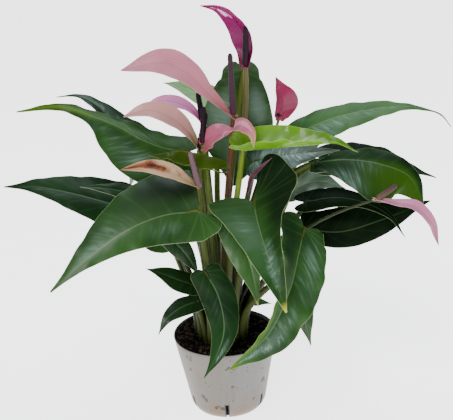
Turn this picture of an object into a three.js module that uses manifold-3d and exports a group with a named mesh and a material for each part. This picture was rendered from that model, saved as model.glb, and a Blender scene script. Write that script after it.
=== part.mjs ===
// A potted anthurium: a 12 cm nursery pot of soil, narrow heart-shaped leaves on long stalks,
// and nine flowers, each a spathe and a spadix on a stem. Millimetres, +Z up, the front is -Y.
// The origin is at the middle of the pot's underside.
import * as THREE from 'three';
import { mergeVertices } from 'three/addons/utils/BufferGeometryUtils.js';
import Module from 'manifold-3d';

const wasm = await Module();
wasm.setup();

// Driving dimensions
const potHeight = 92;
const rimRadius = 60;
const footRadius = 39; // the flat underside
const heelRadius = 44.5; // where the turned-in heel meets the wall
const heelHeight = 8;
const potWall = 1.4;
const slotCount = 6; // drainage slots round the heel
const slotWidth = 3.8;
const slotHeight = 20;
const slotTurn = -3; // degrees, from the front
const slotReach = 14; // how far the cutter of a slot runs through the wall
const gap = 0.3; // between pieces that touch
const soilTop = 89;
const soilLump = 1.8; // how far the lumps rise and fall
const soilHeap = 4; // how much higher the soil lies on the left
const heapTurn = 205; // degrees from +X to the highest side
const soilRings = 6;
const soilSectors = 26;
const wallSectors = 48;
const rootDepth = 24; // how far a stem stands down its hole
const rootPitch = 8; // from one ring of holes to the next
const holeRise = 12; // how far the cutter of a hole stands above the soil
const holeRoom = 0.5; // between a stem and the wall of its hole
const bladeThickness = 0.8;
const ribDepth = 1.2; // how far the midrib stands out below, at the stalk
const spatheRib = 0.4;
const petioleRadius = 1.7;
const stalkRise = 6; // how far a stalk stands straight up out of the soil
const stalkSweep = 0.35; // how much of its reach each end of a stalk's bend takes
const stalkSteps = 7;
const stalkSides = 5;
const stemRadius = 2.1; // flower stems
const stemClear = 14; // how far down its stem a spathe is cut clear of it
const spadixRadius = 3.2;

const potColour = '#cfc6bf';
const soilColour = '#2a201a';
const leafColour = '#1d4a2b';
const youngColour = '#6f9a17';
const stemColour = '#8a8a3a';
const spadixColour = '#4a2138';

// Outlines of half a blade, from the inner end of the basal lobe round to the tip. The first
// number runs along the midrib, as a share of its length ahead of the stalk and as a share of the
// lobe's length behind it. The second is a share of the half width.
const outlines = {
  heart: [[-0.7, 0.2], [-1, 0.42], [-0.84, 0.72], [-0.2, 0.94], [0.1, 1], [0.25, 0.94],
    [0.42, 0.75], [0.6, 0.48], [0.77, 0.24], [0.9, 0.09], [1, 0.02]],
  lance: [[-0.6, 0.16], [-1, 0.42], [-0.7, 0.78], [0.02, 0.94], [0.2, 1], [0.36, 0.95],
    [0.52, 0.78], [0.68, 0.52], [0.82, 0.27], [0.92, 0.1], [1, 0.02]],
  full: [[-0.6, 0.2], [-1, 0.42], [-0.6, 0.62], [0.02, 0.74], [0.2, 0.9], [0.36, 1],
    [0.55, 0.93], [0.72, 0.62], [0.85, 0.3], [0.94, 0.12], [1, 0.02]],
  twisted: [[-0.7, 0.2], [-1, 0.42], [-0.84, 0.72], [-0.2, 0.94], [0.1, 1], [0.25, 0.94],
    [0.36, 0.83], [0.44, 0.73], [0.5, 0.64], [0.56, 0.54], [0.63, 0.44], [0.77, 0.24],
    [0.9, 0.09], [1, 0.02]],
  slim: [[-0.7, 0.2], [-1, 0.42], [-0.84, 0.72], [-0.2, 0.94], [0.1, 1], [0.25, 0.92],
    [0.36, 0.78], [0.44, 0.64], [0.5, 0.52], [0.56, 0.42], [0.63, 0.33], [0.77, 0.18],
    [0.9, 0.07], [1, 0.02]],
  blunt: [[-0.6, 0.08], [-0.95, 0.25], [-0.6, 0.42], [0.05, 0.58], [0.16, 0.76], [0.3, 0.9],
    [0.46, 1], [0.66, 0.9], [0.84, 0.5], [1, 0.03]],
  spathe: [[-0.6, 0.06], [-0.9, 0.3], [-0.2, 0.5], [0.14, 0.8], [0.34, 1], [0.52, 0.86],
    [0.7, 0.58], [0.86, 0.26], [1, 0.03]],
  long: [[-0.6, 0.06], [-0.9, 0.25], [0.02, 0.3], [0.14, 0.45], [0.3, 0.75], [0.48, 1],
    [0.66, 0.9], [0.84, 0.5], [1, 0.03]],
  neck: [[-0.6, 0.06], [-0.9, 0.2], [0.02, 0.24], [0.14, 0.33], [0.3, 0.55], [0.48, 0.86],
    [0.64, 1], [0.82, 0.6], [1, 0.03]],
  wing: [[-0.7, 0.2], [-1, 0.42], [-0.84, 0.72], [-0.3, 0.96], [0.02, 1], [0.15, 0.84],
    [0.32, 0.62], [0.5, 0.45], [0.7, 0.28], [0.87, 0.12], [1, 0.02]],
  hollow: [[-0.7, 0.2], [-1, 0.42], [-0.84, 0.72], [-0.3, 0.96], [0, 1], [0.12, 0.8],
    [0.26, 0.54], [0.42, 0.38], [0.6, 0.28], [0.82, 0.14], [1, 0.02]],
};
const fanShare = 0.4; // the share of an outline whose strips all start at the stalk
const broadStrips = [0, 0.18, 0.6, 1]; // where the strips of half a blade lie, rib to margin
const narrowStrips = [0, 0.5, 1];
const narrowHalf = 22; // a blade whose halves are narrower has fewer strips

// Leaves. rib runs from the stalk to the tip; face is where the upper side looks, at even steps
// along the rib; a pair of outlines, and each other pair, is for the left and the right half, seen
// from above with the tip ahead: half is the half width, fold lifts a half at the rib and curl
// bends it on towards the margin, both in degrees, lobe is how far the basal lobe reaches behind
// the stalk and lift how far it rises there; root is the ring of holes that the stalk stands in and
// the place on that ring; lean is how flat the stalk arrives.
const leaves = {
  leaf_upper_left: {
    outline: ['slim', 'twisted'],
    rib: [[-28, 17, 309], [-54, 12, 316], [-80, 7, 330], [-102, 4, 346], [-128, 4, 359],
      [-163, 8, 371], [-211, 12, 367]],
    face: [[0, -1, 0.3], [0, -1, 0.3], [0, -1, 0.3], [0, 0.7, 0.7], [0, 0.7, 0.7], [0, 0.7, 0.7]],
    half: [49, 25], fold: [25, 0], curl: [-10, -25], lobe: [16, 12], root: [2, 6],
  },
  leaf_upper_left_behind: {
    rib: [[-39, 45, 297], [-73, 50, 306], [-108, 58, 333], [-121, 60, 347], [-136, 63, 360],
      [-154, 67, 367], [-176, 70, 366]],
    face: [[0, -0.3, 0.95], [0, -0.2, 1]],
    half: [26, 32], fold: [10, 10], curl: [-25, -25], lobe: [12, 12], root: [2, 5],
  },
  leaf_far_left: {
    outline: 'lance',
    rib: [[-62, 20, 228], [-92, 19, 240], [-124, 17, 254], [-164, 15, 269], [-202, 15, 279],
      [-238, 20, 279]],
    face: [[-0.1, -0.55, 0.83], [-0.1, -0.55, 0.83]],
    half: [30, 36], fold: [5, 5], curl: [-20, -20], lobe: [14, 14], root: [3, 9],
  },
  leaf_far_left_small: {
    outline: 'lance',
    rib: [[-70, 8, 262], [-100, 0, 272], [-126, -8, 281], [-148, -12, 285]],
    face: [[0, -0.5, 0.85], [0, -0.5, 0.85]],
    half: [14, 12], fold: [10, 10], curl: [-20, -20], lobe: [10, 10], root: [3, 10],
  },
  leaf_front_left: {
    rib: [[-19, -58, 266], [-55, -66, 267], [-91, -78, 259], [-133, -97, 238], [-174, -118, 210]],
    face: [[0, -0.6, 0.8], [-0.1, -0.6, 0.8], [-0.3, -0.7, 0.6]],
    half: [32, 56], fold: [-15, 5], curl: [-25, -15], lobe: [22, 3], root: [3, 12],
  },
  leaf_young_left: {
    outline: 'lance', young: true,
    rib: [[-8, -32, 304], [-26, -33, 309], [-46, -33, 317], [-69, -32, 323]],
    face: [[0, -0.35, 0.94], [0, -0.35, 0.94]],
    half: [12, 12], fold: [50, 50], curl: [20, 20], lobe: [22, 22], root: [2, 8],
  },
  leaf_young_right: {
    outline: 'lance', young: true,
    rib: [[31, -35, 324], [66, -38, 326], [101, -40, 327], [127, -43, 328], [151, -47, 318]],
    face: [[0, -0.15, 0.98], [0, -0.15, 0.98]],
    half: [24, 18], fold: [45, 40], curl: [15, 15], lobe: [14, 14], root: [1, 5],
  },
  leaf_right_shaded: {
    rib: [[44, 0, 299], [72, -4, 305], [104, -6, 307], [137, -6, 308]],
    face: [[0, -0.5, 0.85], [0, -0.5, 0.85]],
    half: [26, 26], fold: [5, 5], curl: [-20, -20], lobe: [10, 10], root: [1, 0],
  },
  leaf_front_centre: {
    rib: [[39, -52, 271], [42, -82, 257], [48, -112, 239], [56, -132, 214], [64, -142, 184]],
    face: [[0, -0.4, 0.9], [0.1, -0.7, 0.7], [0.2, -0.9, 0.3]],
    outline: ['hollow', 'wing'],
    half: [54, 48], fold: [30, 5], curl: [0, -5], lobe: [42, 8], lift: [14, 0], root: [3, 15],
  },
  leaf_front_centre_under: {
    outline: 'lance',
    rib: [[16, -48, 246], [27, -62, 223], [35, -76, 191], [38, -84, 163]],
    face: [[0, -0.8, 0.6], [0, -0.9, 0.4]],
    half: [13, 20], fold: [5, 5], curl: [-15, -15], lobe: [8, 8], root: [3, 14],
  },
  leaf_front_right: {
    outline: ['full', 'wing'],
    rib: [[93, -38, 232], [84, -62, 211], [72, -86, 182], [46, -108, 142], [2, -112, 104]],
    face: [[0.2, -0.5, 0.8], [0.4, -0.85, 0.4], [0.3, -0.9, 0.4]],
    half: [35, 28], fold: [5, 25], curl: [-15, 5], lobe: [3, 12], root: [3, 17],
  },
  leaf_front_right_under: {
    outline: 'lance',
    rib: [[82, -52, 206], [85, -60, 180], [87, -68, 145], [94, -72, 106]],
    face: [[0.3, -0.8, 0.5], [0.3, -0.9, 0.2]],
    half: [22, 18], fold: [0, 0], curl: [-15, -15], lobe: [10, 10], root: [3, 16],
  },
  leaf_right_broad: {
    rib: [[123, 45, 281], [156, 36, 284], [192, 28, 282], [219, 22, 272], [248, 18, 261]],
    face: [[0, -0.35, 0.93], [0, -0.4, 0.9]],
    half: [38, 24], fold: [0, 0], curl: [-20, -20], lobe: [12, 12], root: [2, 1], lean: 4,
  },
  leaf_right_broad_lower: {
    outline: 'long',
    rib: [[108, -2, 294], [143, -4, 296], [180, -8, 290], [212, -13, 275], [226, -20, 246]],
    face: [[0, -0.6, 0.8], [0.1, -0.7, 0.7]],
    half: [18, 44], fold: [5, 0], curl: [-10, -20], lobe: [8, 5], root: [2, 0], lean: 4,
  },
  leaf_right_grey: {
    outline: 'lance',
    rib: [[85, 50, 242], [103, 50, 251], [122, 49, 253], [149, 46, 244]],
    face: [[0, -0.6, 0.8], [0, -0.6, 0.8]],
    half: [20, 14], fold: [5, 5], curl: [-20, -20], lobe: [8, 8], root: [3, 2],
  },
  leaf_right_dark: {
    rib: [[98, 4, 246], [131, 0, 251], [164, -6, 245], [191, -12, 229], [207, -16, 205]],
    face: [[0, -0.35, 0.93], [0, -0.35, 0.93]],
    half: [20, 15], fold: [5, 0], curl: [-20, -20], lobe: [12, 12], root: [3, 1],
  },
  leaf_right_lowest: {
    outline: 'full',
    rib: [[95, -2, 216], [136, -4, 211], [181, -2, 221], [239, 4, 239]],
    face: [[0, -0.8, 0.6], [0, -0.7, 0.7]],
    half: [31, 19], fold: [5, -5], curl: [-20, -20], lobe: [4, 8], root: [3, 0],
  },
  leaf_back_right: {
    rib: [[82, 62, 290], [103, 66, 309], [135, 68, 322], [172, 66, 330], [211, 60, 335],
      [242, 56, 332], [268, 50, 319]],
    face: [[0, -0.5, 0.85], [0, -0.5, 0.85]],
    half: [21, 28], fold: [5, 5], curl: [-15, -15], lobe: [10, 10], root: [3, 3],
  },
  leaf_back_upright: {
    outline: 'blunt',
    rib: [[38, 62, 387], [35, 66, 340], [30, 68, 293], [20, 66, 248]],
    face: [[0, -0.9, 0.4], [0, -0.9, 0.4]],
    half: [36, 48], fold: [5, 5], curl: [-15, -15], lobe: [10, 10], root: [2, 3],
  },
  leaf_back_left: {
    outline: 'lance', young: true,
    rib: [[6, 105, 340], [-20, 112, 352], [-38, 116, 359], [-56, 118, 364]],
    face: [[0, -0.5, 0.85], [0, -0.5, 0.85]],
    half: [16, 20], fold: [10, 10], curl: [-10, -10], lobe: [10, 10], root: [3, 5],
  },
  leaf_low_left: {
    outline: 'lance',
    rib: [[-56, 45, 195], [-70, 44, 190], [-82, 44, 188], [-94, 46, 191]],
    face: [[0, -0.6, 0.8], [0, -0.6, 0.8]],
    half: [15, 15], fold: [5, 5], curl: [-15, -15], lobe: [10, 10], root: [4, 10],
  },
  leaf_low_left_hanging: {
    outline: 'lance',
    rib: [[-56, -18, 222], [-45, -20, 211], [-34, -22, 195], [-25, -24, 176]],
    face: [[0, -0.8, 0.6], [0, -0.9, 0.4]],
    half: [12, 12], fold: [5, 5], curl: [-15, -15], lobe: [8, 8], root: [4, 12],
  },
  leaf_over_pot_left: {
    outline: 'lance',
    rib: [[-34, -24, 166], [-50, -32, 177], [-66, -40, 189], [-81, -48, 199]],
    face: [[0, -0.6, 0.8], [0, -0.6, 0.8]],
    half: [12, 12], fold: [5, 5], curl: [-15, -15], lobe: [8, 8], root: [4, 14],
  },
  leaf_over_pot_front: {
    outline: 'lance',
    rib: [[-17, -54, 194], [-4, -74, 173], [0, -92, 142], [-11, -100, 113], [-25, -102, 90]],
    face: [[0, -0.6, 0.8], [0, -0.9, 0.4], [0, -0.9, 0.3]],
    half: [19, 19], fold: [5, 5], curl: [-15, -15], lobe: [6, 6], root: [4, 16],
  },
  leaf_over_rim: {
    outline: 'lance',
    rib: [[-29, -40, 152], [-43, -56, 155], [-60, -75, 152], [-71, -85, 137]],
    face: [[0, -0.6, 0.8], [0, -0.6, 0.8]],
    half: [12, 9], fold: [5, 5], curl: [-15, -15], lobe: [8, 8], root: [4, 15],
  },
  leaf_on_soil: {
    outline: 'lance',
    rib: [[18, 34, 118], [32, 39, 112], [46, 44, 106], [58, 48, 100]],
    face: [[0, -0.3, 0.95], [0, -0.3, 0.95]],
    half: [12, 12], fold: [5, 5], curl: [-10, -10], lobe: [8, 8], root: [4, 4],
  },
  leaf_rear_left: {
    rib: [[-42, 80, 262], [-70, 105, 266], [-96, 132, 250], [-112, 156, 222]],
    face: [[-0.2, 0.2, 0.95], [-0.4, 0.5, 0.7]],
    half: [32, 32], fold: [8, 8], curl: [-20, -20], lobe: [20, 20], root: [3, 6],
  },
  leaf_rear_right: {
    rib: [[58, 90, 258], [85, 120, 262], [110, 150, 246], [128, 178, 214]],
    face: [[0.2, 0.2, 0.95], [0.4, 0.5, 0.7]],
    half: [32, 32], fold: [8, 8], curl: [-20, -20], lobe: [20, 20], root: [3, 4],
  },
  leaf_rear_low: {
    rib: [[5, 85, 200], [8, 115, 190], [6, 140, 160], [0, 155, 122]],
    face: [[0, 0.3, 0.95], [0, 0.9, 0.4]],
    half: [26, 26], fold: [8, 8], curl: [-20, -20], lobe: [16, 16], root: [4, 6],
  },
};

// Flowers. The spathe's rib starts where the stem ends; spadix is the spadix's tip.
const flowers = {
  top: {
    colour: '#8f2f62', root: [1, 1], spadix: [41, 4, 447], lean: 0,
    rib: [[39, 12, 402], [41, 17, 420], [38, 18, 438], [28, 13, 455], [14, 5, 467], [-5, -2, 472]],
    face: [[-0.5, -0.85, 0], [-0.5, -0.8, -0.3], [-0.2, -0.8, -0.5]],
    half: [15, 15], fold: [15, 15], curl: [20, 20],
  },
  tall_pale: {
    colour: '#c4939b', root: [0, 0], spadix: [23, -8, 422], outline: 'neck',
    rib: [[23, -8, 354], [9, -12, 369], [-6, -14, 386], [-22, -14, 404], [-50, -12, 417],
      [-92, -12, 411]],
    face: [[0.5, -0.7, 0.5], [0.2, -0.8, 0.6], [0, -0.8, 0.6]],
    half: [15, 17], fold: [5, 5], curl: [10, 10],
  },
  violet: {
    colour: '#cf78b4', root: [1, 2], spadix: [-14, 17, 376], outline: 'long',
    rib: [[-10, 15, 340], [-21, 15, 356], [-39, 12, 367], [-57, 10, 370], [-71, 8, 366]],
    face: [[0.4, -0.5, 0.8], [0.1, -0.6, 0.8]],
    half: [9, 9], fold: [10, 10], curl: [10, 10],
  },
  beige: {
    colour: '#c99f98', root: [1, 3], spadix: [-6, -8, 359], outline: 'long',
    rib: [[-16, -12, 319], [-24, -20, 340], [-43, -25, 361], [-67, -28, 371], [-92, -30, 366]],
    face: [[0.5, -0.5, 0.7], [0.1, -0.7, 0.75]],
    half: [13, 13], fold: [10, 10], curl: [10, 10],
  },
  rose: {
    colour: '#c4738c', root: [1, 4], spadix: [-8, -22, 370],
    rib: [[-11, -23, 329], [-5, -30, 336], [4, -36, 341], [15, -43, 344], [29, -48, 355],
      [40, -51, 347], [42, -54, 332]],
    face: [[0, -0.8, 0.6], [0, -0.7, 0.7], [0, 0.1, 1], [0.2, -0.7, 0.7], [0.4, -0.7, 0.5]],
    half: [15, 16], fold: [5, 5], curl: [10, 10], lobe: [6, 6],
  },
  faded: {
    colour: '#cdb19a', root: [2, 7], spadix: [-24, -60, 333], outline: 'long',
    rib: [[-18, -31, 283], [-28, -43, 295], [-47, -53, 310], [-70, -57, 318], [-97, -60, 318]],
    face: [[0.4, -0.6, 0.7], [0, -0.8, 0.6]],
    half: [8, 10], fold: [5, 5], curl: [10, 10],
  },
  back: {
    colour: '#ab2f63', root: [2, 2], spadix: [77, 52, 366],
    rib: [[75, 40, 335], [80, 36, 353], [76, 38, 370], [73, 44, 381]],
    face: [[0, 0.9, 0.3], [0, 0.9, 0.1]],
    half: [14, 15], fold: [15, 15], curl: [15, 15],
  },
  right: {
    colour: '#c9829f', root: [2, 11], spadix: [194, -38, 276], lean: 3.5, outline: 'long',
    rib: [[171, -40, 261], [190, -45, 258], [211, -50, 254], [227, -52, 237], [236, -55, 210]],
    face: [[0, -0.3, 0.95], [0.3, -0.5, 0.8]],
    half: [9, 9], fold: [10, 10], curl: [10, 10],
  },
  narrow: {
    colour: '#9c6b7f', root: [2, 10],
    rib: [[34, -24, 273], [39, -29, 290], [50, -37, 305], [61, -43, 316]],
    face: [[0, -0.9, 0.4], [0, -0.9, 0.4]],
    half: [5, 5], fold: [30, 30], curl: [20, 20],
  },
};

const radians = THREE.MathUtils.degToRad;
const vector = (p) => new THREE.Vector3(...p);

// A vector at a share of the way through evenly spaced keys.
function vectorAt(keys, share) {
  const place = Math.min(Math.max(share, 0), 1) * (keys.length - 1);
  const i = Math.min(Math.floor(place), keys.length - 2);
  return vector(keys[i]).lerp(vector(keys[i + 1]), place - i);
}

// A geometry from points and triples of point numbers.
function solidFrom(points, triangles) {
  const geometry = new THREE.BufferGeometry();
  geometry.setAttribute('position', new THREE.Float32BufferAttribute(
    points.flatMap((p) => [p.x, p.y, p.z]), 3));
  geometry.setIndex(triangles.flat());
  return geometry;
}

// A closed skin over rings of points, with a flat fan over each end.
function skin(rings) {
  const sides = rings[0].length;
  const points = rings.flat();
  const triangles = [];
  for (let i = 0; i + 1 < rings.length; i += 1) {
    for (let j = 0; j < sides; j += 1) {
      const a = i * sides + j;
      const b = i * sides + (j + 1) % sides;
      triangles.push([a, b, b + sides], [a, b + sides, a + sides]);
    }
  }
  const last = (rings.length - 1) * sides;
  for (let j = 1; j + 1 < sides; j += 1) {
    triangles.push([0, j + 1, j], [last, last + j, last + j + 1]);
  }
  return solidFrom(points, triangles);
}

// A tube along a curve, with a radius at each step and sides that don't twist.
function tube(curve, radii, sides) {
  const steps = radii.length - 1;
  const frames = curve.computeFrenetFrames(steps, false);
  const rings = radii.map((radius, i) => {
    const centre = curve.getPointAt(i / steps);
    return Array.from({ length: sides }, (_, j) => {
      const angle = (2 * Math.PI * j) / sides;
      return centre.clone()
        .addScaledVector(frames.normals[i], radius * Math.cos(angle))
        .addScaledVector(frames.binormals[i], radius * Math.sin(angle));
    });
  });
  return skin(rings);
}

function toManifold(geometry) {
  const bare = geometry.clone();
  bare.deleteAttribute('normal');
  bare.deleteAttribute('uv');
  const merged = mergeVertices(bare, 1e-4);
  return new wasm.Manifold(new wasm.Mesh({
    numProp: 3,
    vertProperties: new Float32Array(merged.attributes.position.array),
    triVerts: new Uint32Array(merged.index.array),
  }));
}

function fromManifold(solid) {
  const { vertProperties, triVerts } = solid.getMesh();
  const geometry = new THREE.BufferGeometry();
  geometry.setAttribute('position', new THREE.BufferAttribute(vertProperties, 3));
  geometry.setIndex(new THREE.BufferAttribute(triVerts, 1));
  return geometry;
}

// The surface of a blade: a point and its upward normal, a along the rib from the stalk and b
// out from it, on the left (side 0) or the right (side 1).
function bladeSurface(spec) {
  const rib = new THREE.CatmullRomCurve3(spec.rib.map(vector));
  const length = rib.getLength();
  const surface = (a, b, side) => {
    const share = Math.min(Math.max(a / length, 0), 1);
    const along = rib.getTangentAt(share);
    const up = vectorAt(spec.face, share);
    up.addScaledVector(along, -up.dot(along)).normalize();
    const out = new THREE.Vector3().crossVectors(along, up).multiplyScalar(side ? 1 : -1);
    const fold = radians(spec.fold[side]) * (1 - share ** 6); // the tip lies flat
    const bend = radians(spec.curl[side]) * (b / spec.half[side]);
    const turned = fold + bend;
    const straight = Math.abs(bend) < 1e-3;
    const sideways = straight ? b * Math.cos(fold)
      : (b * (Math.sin(turned) - Math.sin(fold))) / bend;
    const upwards = straight ? b * Math.sin(fold)
      : (b * (Math.cos(fold) - Math.cos(turned))) / bend;
    const behind = Math.max(-a, 0) / spec.lobe[side];
    const lift = spec.lift ? spec.lift[side] : 0;
    const point = rib.getPointAt(share)
      .addScaledVector(along, Math.min(a, 0))
      .addScaledVector(out, sideways)
      .addScaledVector(up, upwards + lift * behind ** 2);
    const normal = up.multiplyScalar(Math.cos(turned)).addScaledVector(out, -Math.sin(turned));
    return { point, normal, share };
  };
  return { surface, length };
}

// A blade as a closed sheet, its two faces split alike, with the midrib standing out below.
function blade(spec, keel) {
  const { surface, length } = bladeSurface(spec);
  const names = [spec.outline ?? 'heart'].flat();
  const outline = [outlines[names[0]], outlines[names.at(-1)]];
  const strips = Math.max(...spec.half) < narrowHalf ? narrowStrips : broadStrips;
  const rows = outline[0].length - 1;
  const fan = Math.round(rows * fanShare);
  const middle = strips.length - 1;
  const columns = 2 * middle + 1;
  const upper = [];
  const lower = [];
  for (let i = 0; i <= rows; i += 1) {
    const inner = length * Math.max((i - fan) / (rows - fan), 0);
    for (let j = 0; j < columns; j += 1) {
      const side = j > middle ? 1 : 0;
      const [reach, width] = outline[side][i];
      const across = strips[Math.abs(j - middle)];
      const outer = reach * (reach < 0 ? spec.lobe[side] : length);
      const a = inner + (outer - inner) * across;
      const { point, normal, share } = surface(a, width * spec.half[side] * across, side);
      if (j === middle) normal.add(surface(a, 0, 1).normal).normalize();
      const below = bladeThickness / 2 + (j === middle ? keel * (1 - share) : 0);
      upper.push(point.clone().addScaledVector(normal, bladeThickness / 2));
      lower.push(point.clone().addScaledVector(normal, -below));
    }
  }
  // Every strip of the fan starts at the same point of the rib.
  const at = (i, j) => (j === middle ? Math.max(i, fan) : i) * columns + j;
  const count = upper.length;
  const triangles = [];
  const addTriangle = (a, b, c) => {
    if (a !== b && b !== c && c !== a) triangles.push([a, b, c]);
  };
  for (let i = 0; i < rows; i += 1) {
    for (let j = 0; j + 1 < columns; j += 1) {
      const [p, q, r, s] = [at(i, j), at(i, j + 1), at(i + 1, j + 1), at(i + 1, j)];
      const corners = j < middle ? [[p, r, s], [p, q, r]] : [[p, q, s], [q, r, s]];
      for (const [a, b, c] of corners) {
        addTriangle(a, b, c);
        addTriangle(a + count, c + count, b + count);
      }
    }
  }
  const border = [];
  for (let j = 0; j < columns; j += 1) border.push(at(0, j));
  for (let i = 1; i <= rows; i += 1) border.push(at(i, columns - 1));
  for (let j = columns - 2; j >= 0; j -= 1) border.push(at(rows, j));
  for (let i = rows - 1; i > 0; i -= 1) border.push(at(i, 0));
  border.forEach((a, k) => {
    const b = border[(k + 1) % border.length];
    addTriangle(a, b + count, b);
    addTriangle(a, a + count, b + count);
  });
  return solidFrom([...upper, ...lower], triangles);
}

function holePlace([ring, slot]) {
  const angle = ring ? (slot * Math.PI) / (3 * ring) : 0;
  return new THREE.Vector2(Math.cos(angle), Math.sin(angle)).multiplyScalar(ring * rootPitch);
}

// The route of a stalk: straight up out of its hole, then one sweep to where it ends.
function stalkRoute(root, top, lean) {
  const place = holePlace(root);
  const foot = new THREE.Vector3(place.x, place.y, soilTop - rootDepth);
  const ground = new THREE.Vector3(place.x, place.y, soilTop + stalkRise);
  const outwards = new THREE.Vector3(top.x - place.x, top.y - place.y, 0);
  const reach = ground.distanceTo(top);
  const flatness = lean ?? Math.min(0.5, (1.3 * outwards.length()) / (top.z - ground.z));
  const arrival = outwards.normalize().multiplyScalar(flatness);
  arrival.add(new THREE.Vector3(0, 0, 1)).normalize();
  const route = new THREE.CurvePath();
  route.add(new THREE.LineCurve3(foot, ground));
  route.add(new THREE.CubicBezierCurve3(
    ground,
    ground.clone().add(new THREE.Vector3(0, 0, reach * stalkSweep)),
    top.clone().addScaledVector(arrival, -reach * stalkSweep),
    top,
  ));
  return route;
}

// A leaf: its stalk runs on a little way under the blade as the midrib, unless the blade hangs
// back from it.
function leaf(spec) {
  const { surface, length } = bladeSurface(spec);
  const join = surface(0, 0, 0);
  join.point.addScaledVector(join.normal, -ribDepth);
  const along = surface(length * 0.09, 0, 0);
  along.point.addScaledVector(along.normal, -ribDepth * 0.6);
  const route = stalkRoute(spec.root, join.point, spec.lean);
  const knots = route.getSpacedPoints(stalkSteps);
  const onwards = along.point.clone().sub(join.point).normalize();
  if (onwards.dot(route.getTangentAt(1)) > 0) knots.push(along.point);
  const stalk = new THREE.CatmullRomCurve3(knots);
  const steps = stalkSteps + 1;
  const radii = Array(steps).fill(petioleRadius);
  radii.push(petioleRadius * 0.35);
  const petiole = tube(stalk, radii, stalkSides);
  return fromManifold(toManifold(blade(spec, ribDepth)).add(toManifold(petiole)));
}

const potted = new THREE.Group();
function addPiece(name, geometry, colour, roughness) {
  const mesh = new THREE.Mesh(geometry,
    new THREE.MeshStandardMaterial({ color: colour, roughness, metalness: 0 }));
  mesh.name = name;
  potted.add(mesh);
}

function pot() {
  const profile = [[0, 0], [footRadius, 0], [heelRadius, heelHeight], [rimRadius, potHeight],
    [rimRadius - potWall, potHeight], [heelRadius - potWall, heelHeight + potWall / 2],
    [footRadius - potWall / 2, potWall], [0, potWall]];
  const wall = new THREE.LatheGeometry(profile.map(([r, z]) => new THREE.Vector2(r, z)), wallSectors);
  wall.rotateX(Math.PI / 2);
  let solid = toManifold(wall);
  for (let i = 0; i < slotCount; i += 1) {
    const slot = new THREE.BoxGeometry(slotWidth, slotReach, slotHeight + 1);
    slot.translate(0, 2 - heelRadius, (slotHeight - 1) / 2);
    slot.rotateZ((2 * Math.PI * i) / slotCount + radians(slotTurn));
    solid = solid.subtract(toManifold(slot));
  }
  return fromManifold(solid);
}

// The soil fills the pot, with a lumpy top, and each stem stands in a plain hole.
function soil() {
  const inner = (z) => heelRadius - potWall - gap
    + ((rimRadius - heelRadius) * (z - heelHeight)) / (potHeight - heelHeight);
  const ring = (radius, height) => Array.from({ length: soilSectors }, (_, j) => {
    const angle = (2 * Math.PI * j) / soilSectors;
    return new THREE.Vector3(radius * Math.cos(angle), radius * Math.sin(angle), height(angle));
  });
  const lumps = (radius, angle) => soilLump * Math.sin(radius * 0.34 + 3 * Math.sin(2 * angle))
    * Math.cos(5 * angle + radius * 0.21)
    + soilHeap * (radius / rimRadius) * Math.cos(angle - radians(heapTurn));
  const floor = potWall + gap;
  const edge = inner(soilTop - soilHeap - soilLump) - gap;
  const rings = [
    ring(footRadius - potWall, () => floor),
    ring(heelRadius - potWall - gap, () => heelHeight + 2),
    ring(edge, () => soilTop - soilHeap - soilLump),
  ];
  for (let i = soilRings; i > 0; i -= 1) {
    const radius = ((edge - 1) * i) / soilRings;
    rings.push(ring(radius, (angle) => soilTop + lumps(radius, angle)));
  }
  rings.push(ring(0.5, () => soilTop));
  let solid = toManifold(skin(rings));
  const bore = (root, radius) => {
    const place = holePlace(root);
    const depth = rootDepth + holeRise;
    const hole = new THREE.CylinderGeometry(radius + holeRoom, radius + holeRoom, depth, 6);
    hole.rotateX(Math.PI / 2);
    hole.translate(place.x, place.y, soilTop - rootDepth - gap + depth / 2);
    solid = solid.subtract(toManifold(hole));
  };
  Object.values(leaves).forEach((spec) => bore(spec.root, petioleRadius));
  Object.values(flowers).forEach((spec) => bore(spec.root, stemRadius));
  return fromManifold(solid);
}

// A spadix: a tapering finger covered with rows of small bumps.
function spadixAlong(base, tip, radius) {
  const rings = 8;
  const sides = 6;
  const axis = new THREE.LineCurve3(base, tip);
  const frames = axis.computeFrenetFrames(rings, false);
  const sections = Array.from({ length: rings + 1 }, (_, i) => {
    const share = i / rings;
    const shape = i === rings ? 0.35 : (0.9 - 0.35 * share) + (i === 0 ? -0.15 : 0.1);
    return Array.from({ length: sides }, (_, j) => {
      const bump = 1 + 0.09 * ((i + j) % 2 ? 1 : -1);
      const angle = (2 * Math.PI * j) / sides;
      return axis.getPoint(share)
        .addScaledVector(frames.normals[i], radius * shape * bump * Math.cos(angle))
        .addScaledVector(frames.binormals[i], radius * shape * bump * Math.sin(angle));
    });
  });
  return skin(sections);
}

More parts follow.
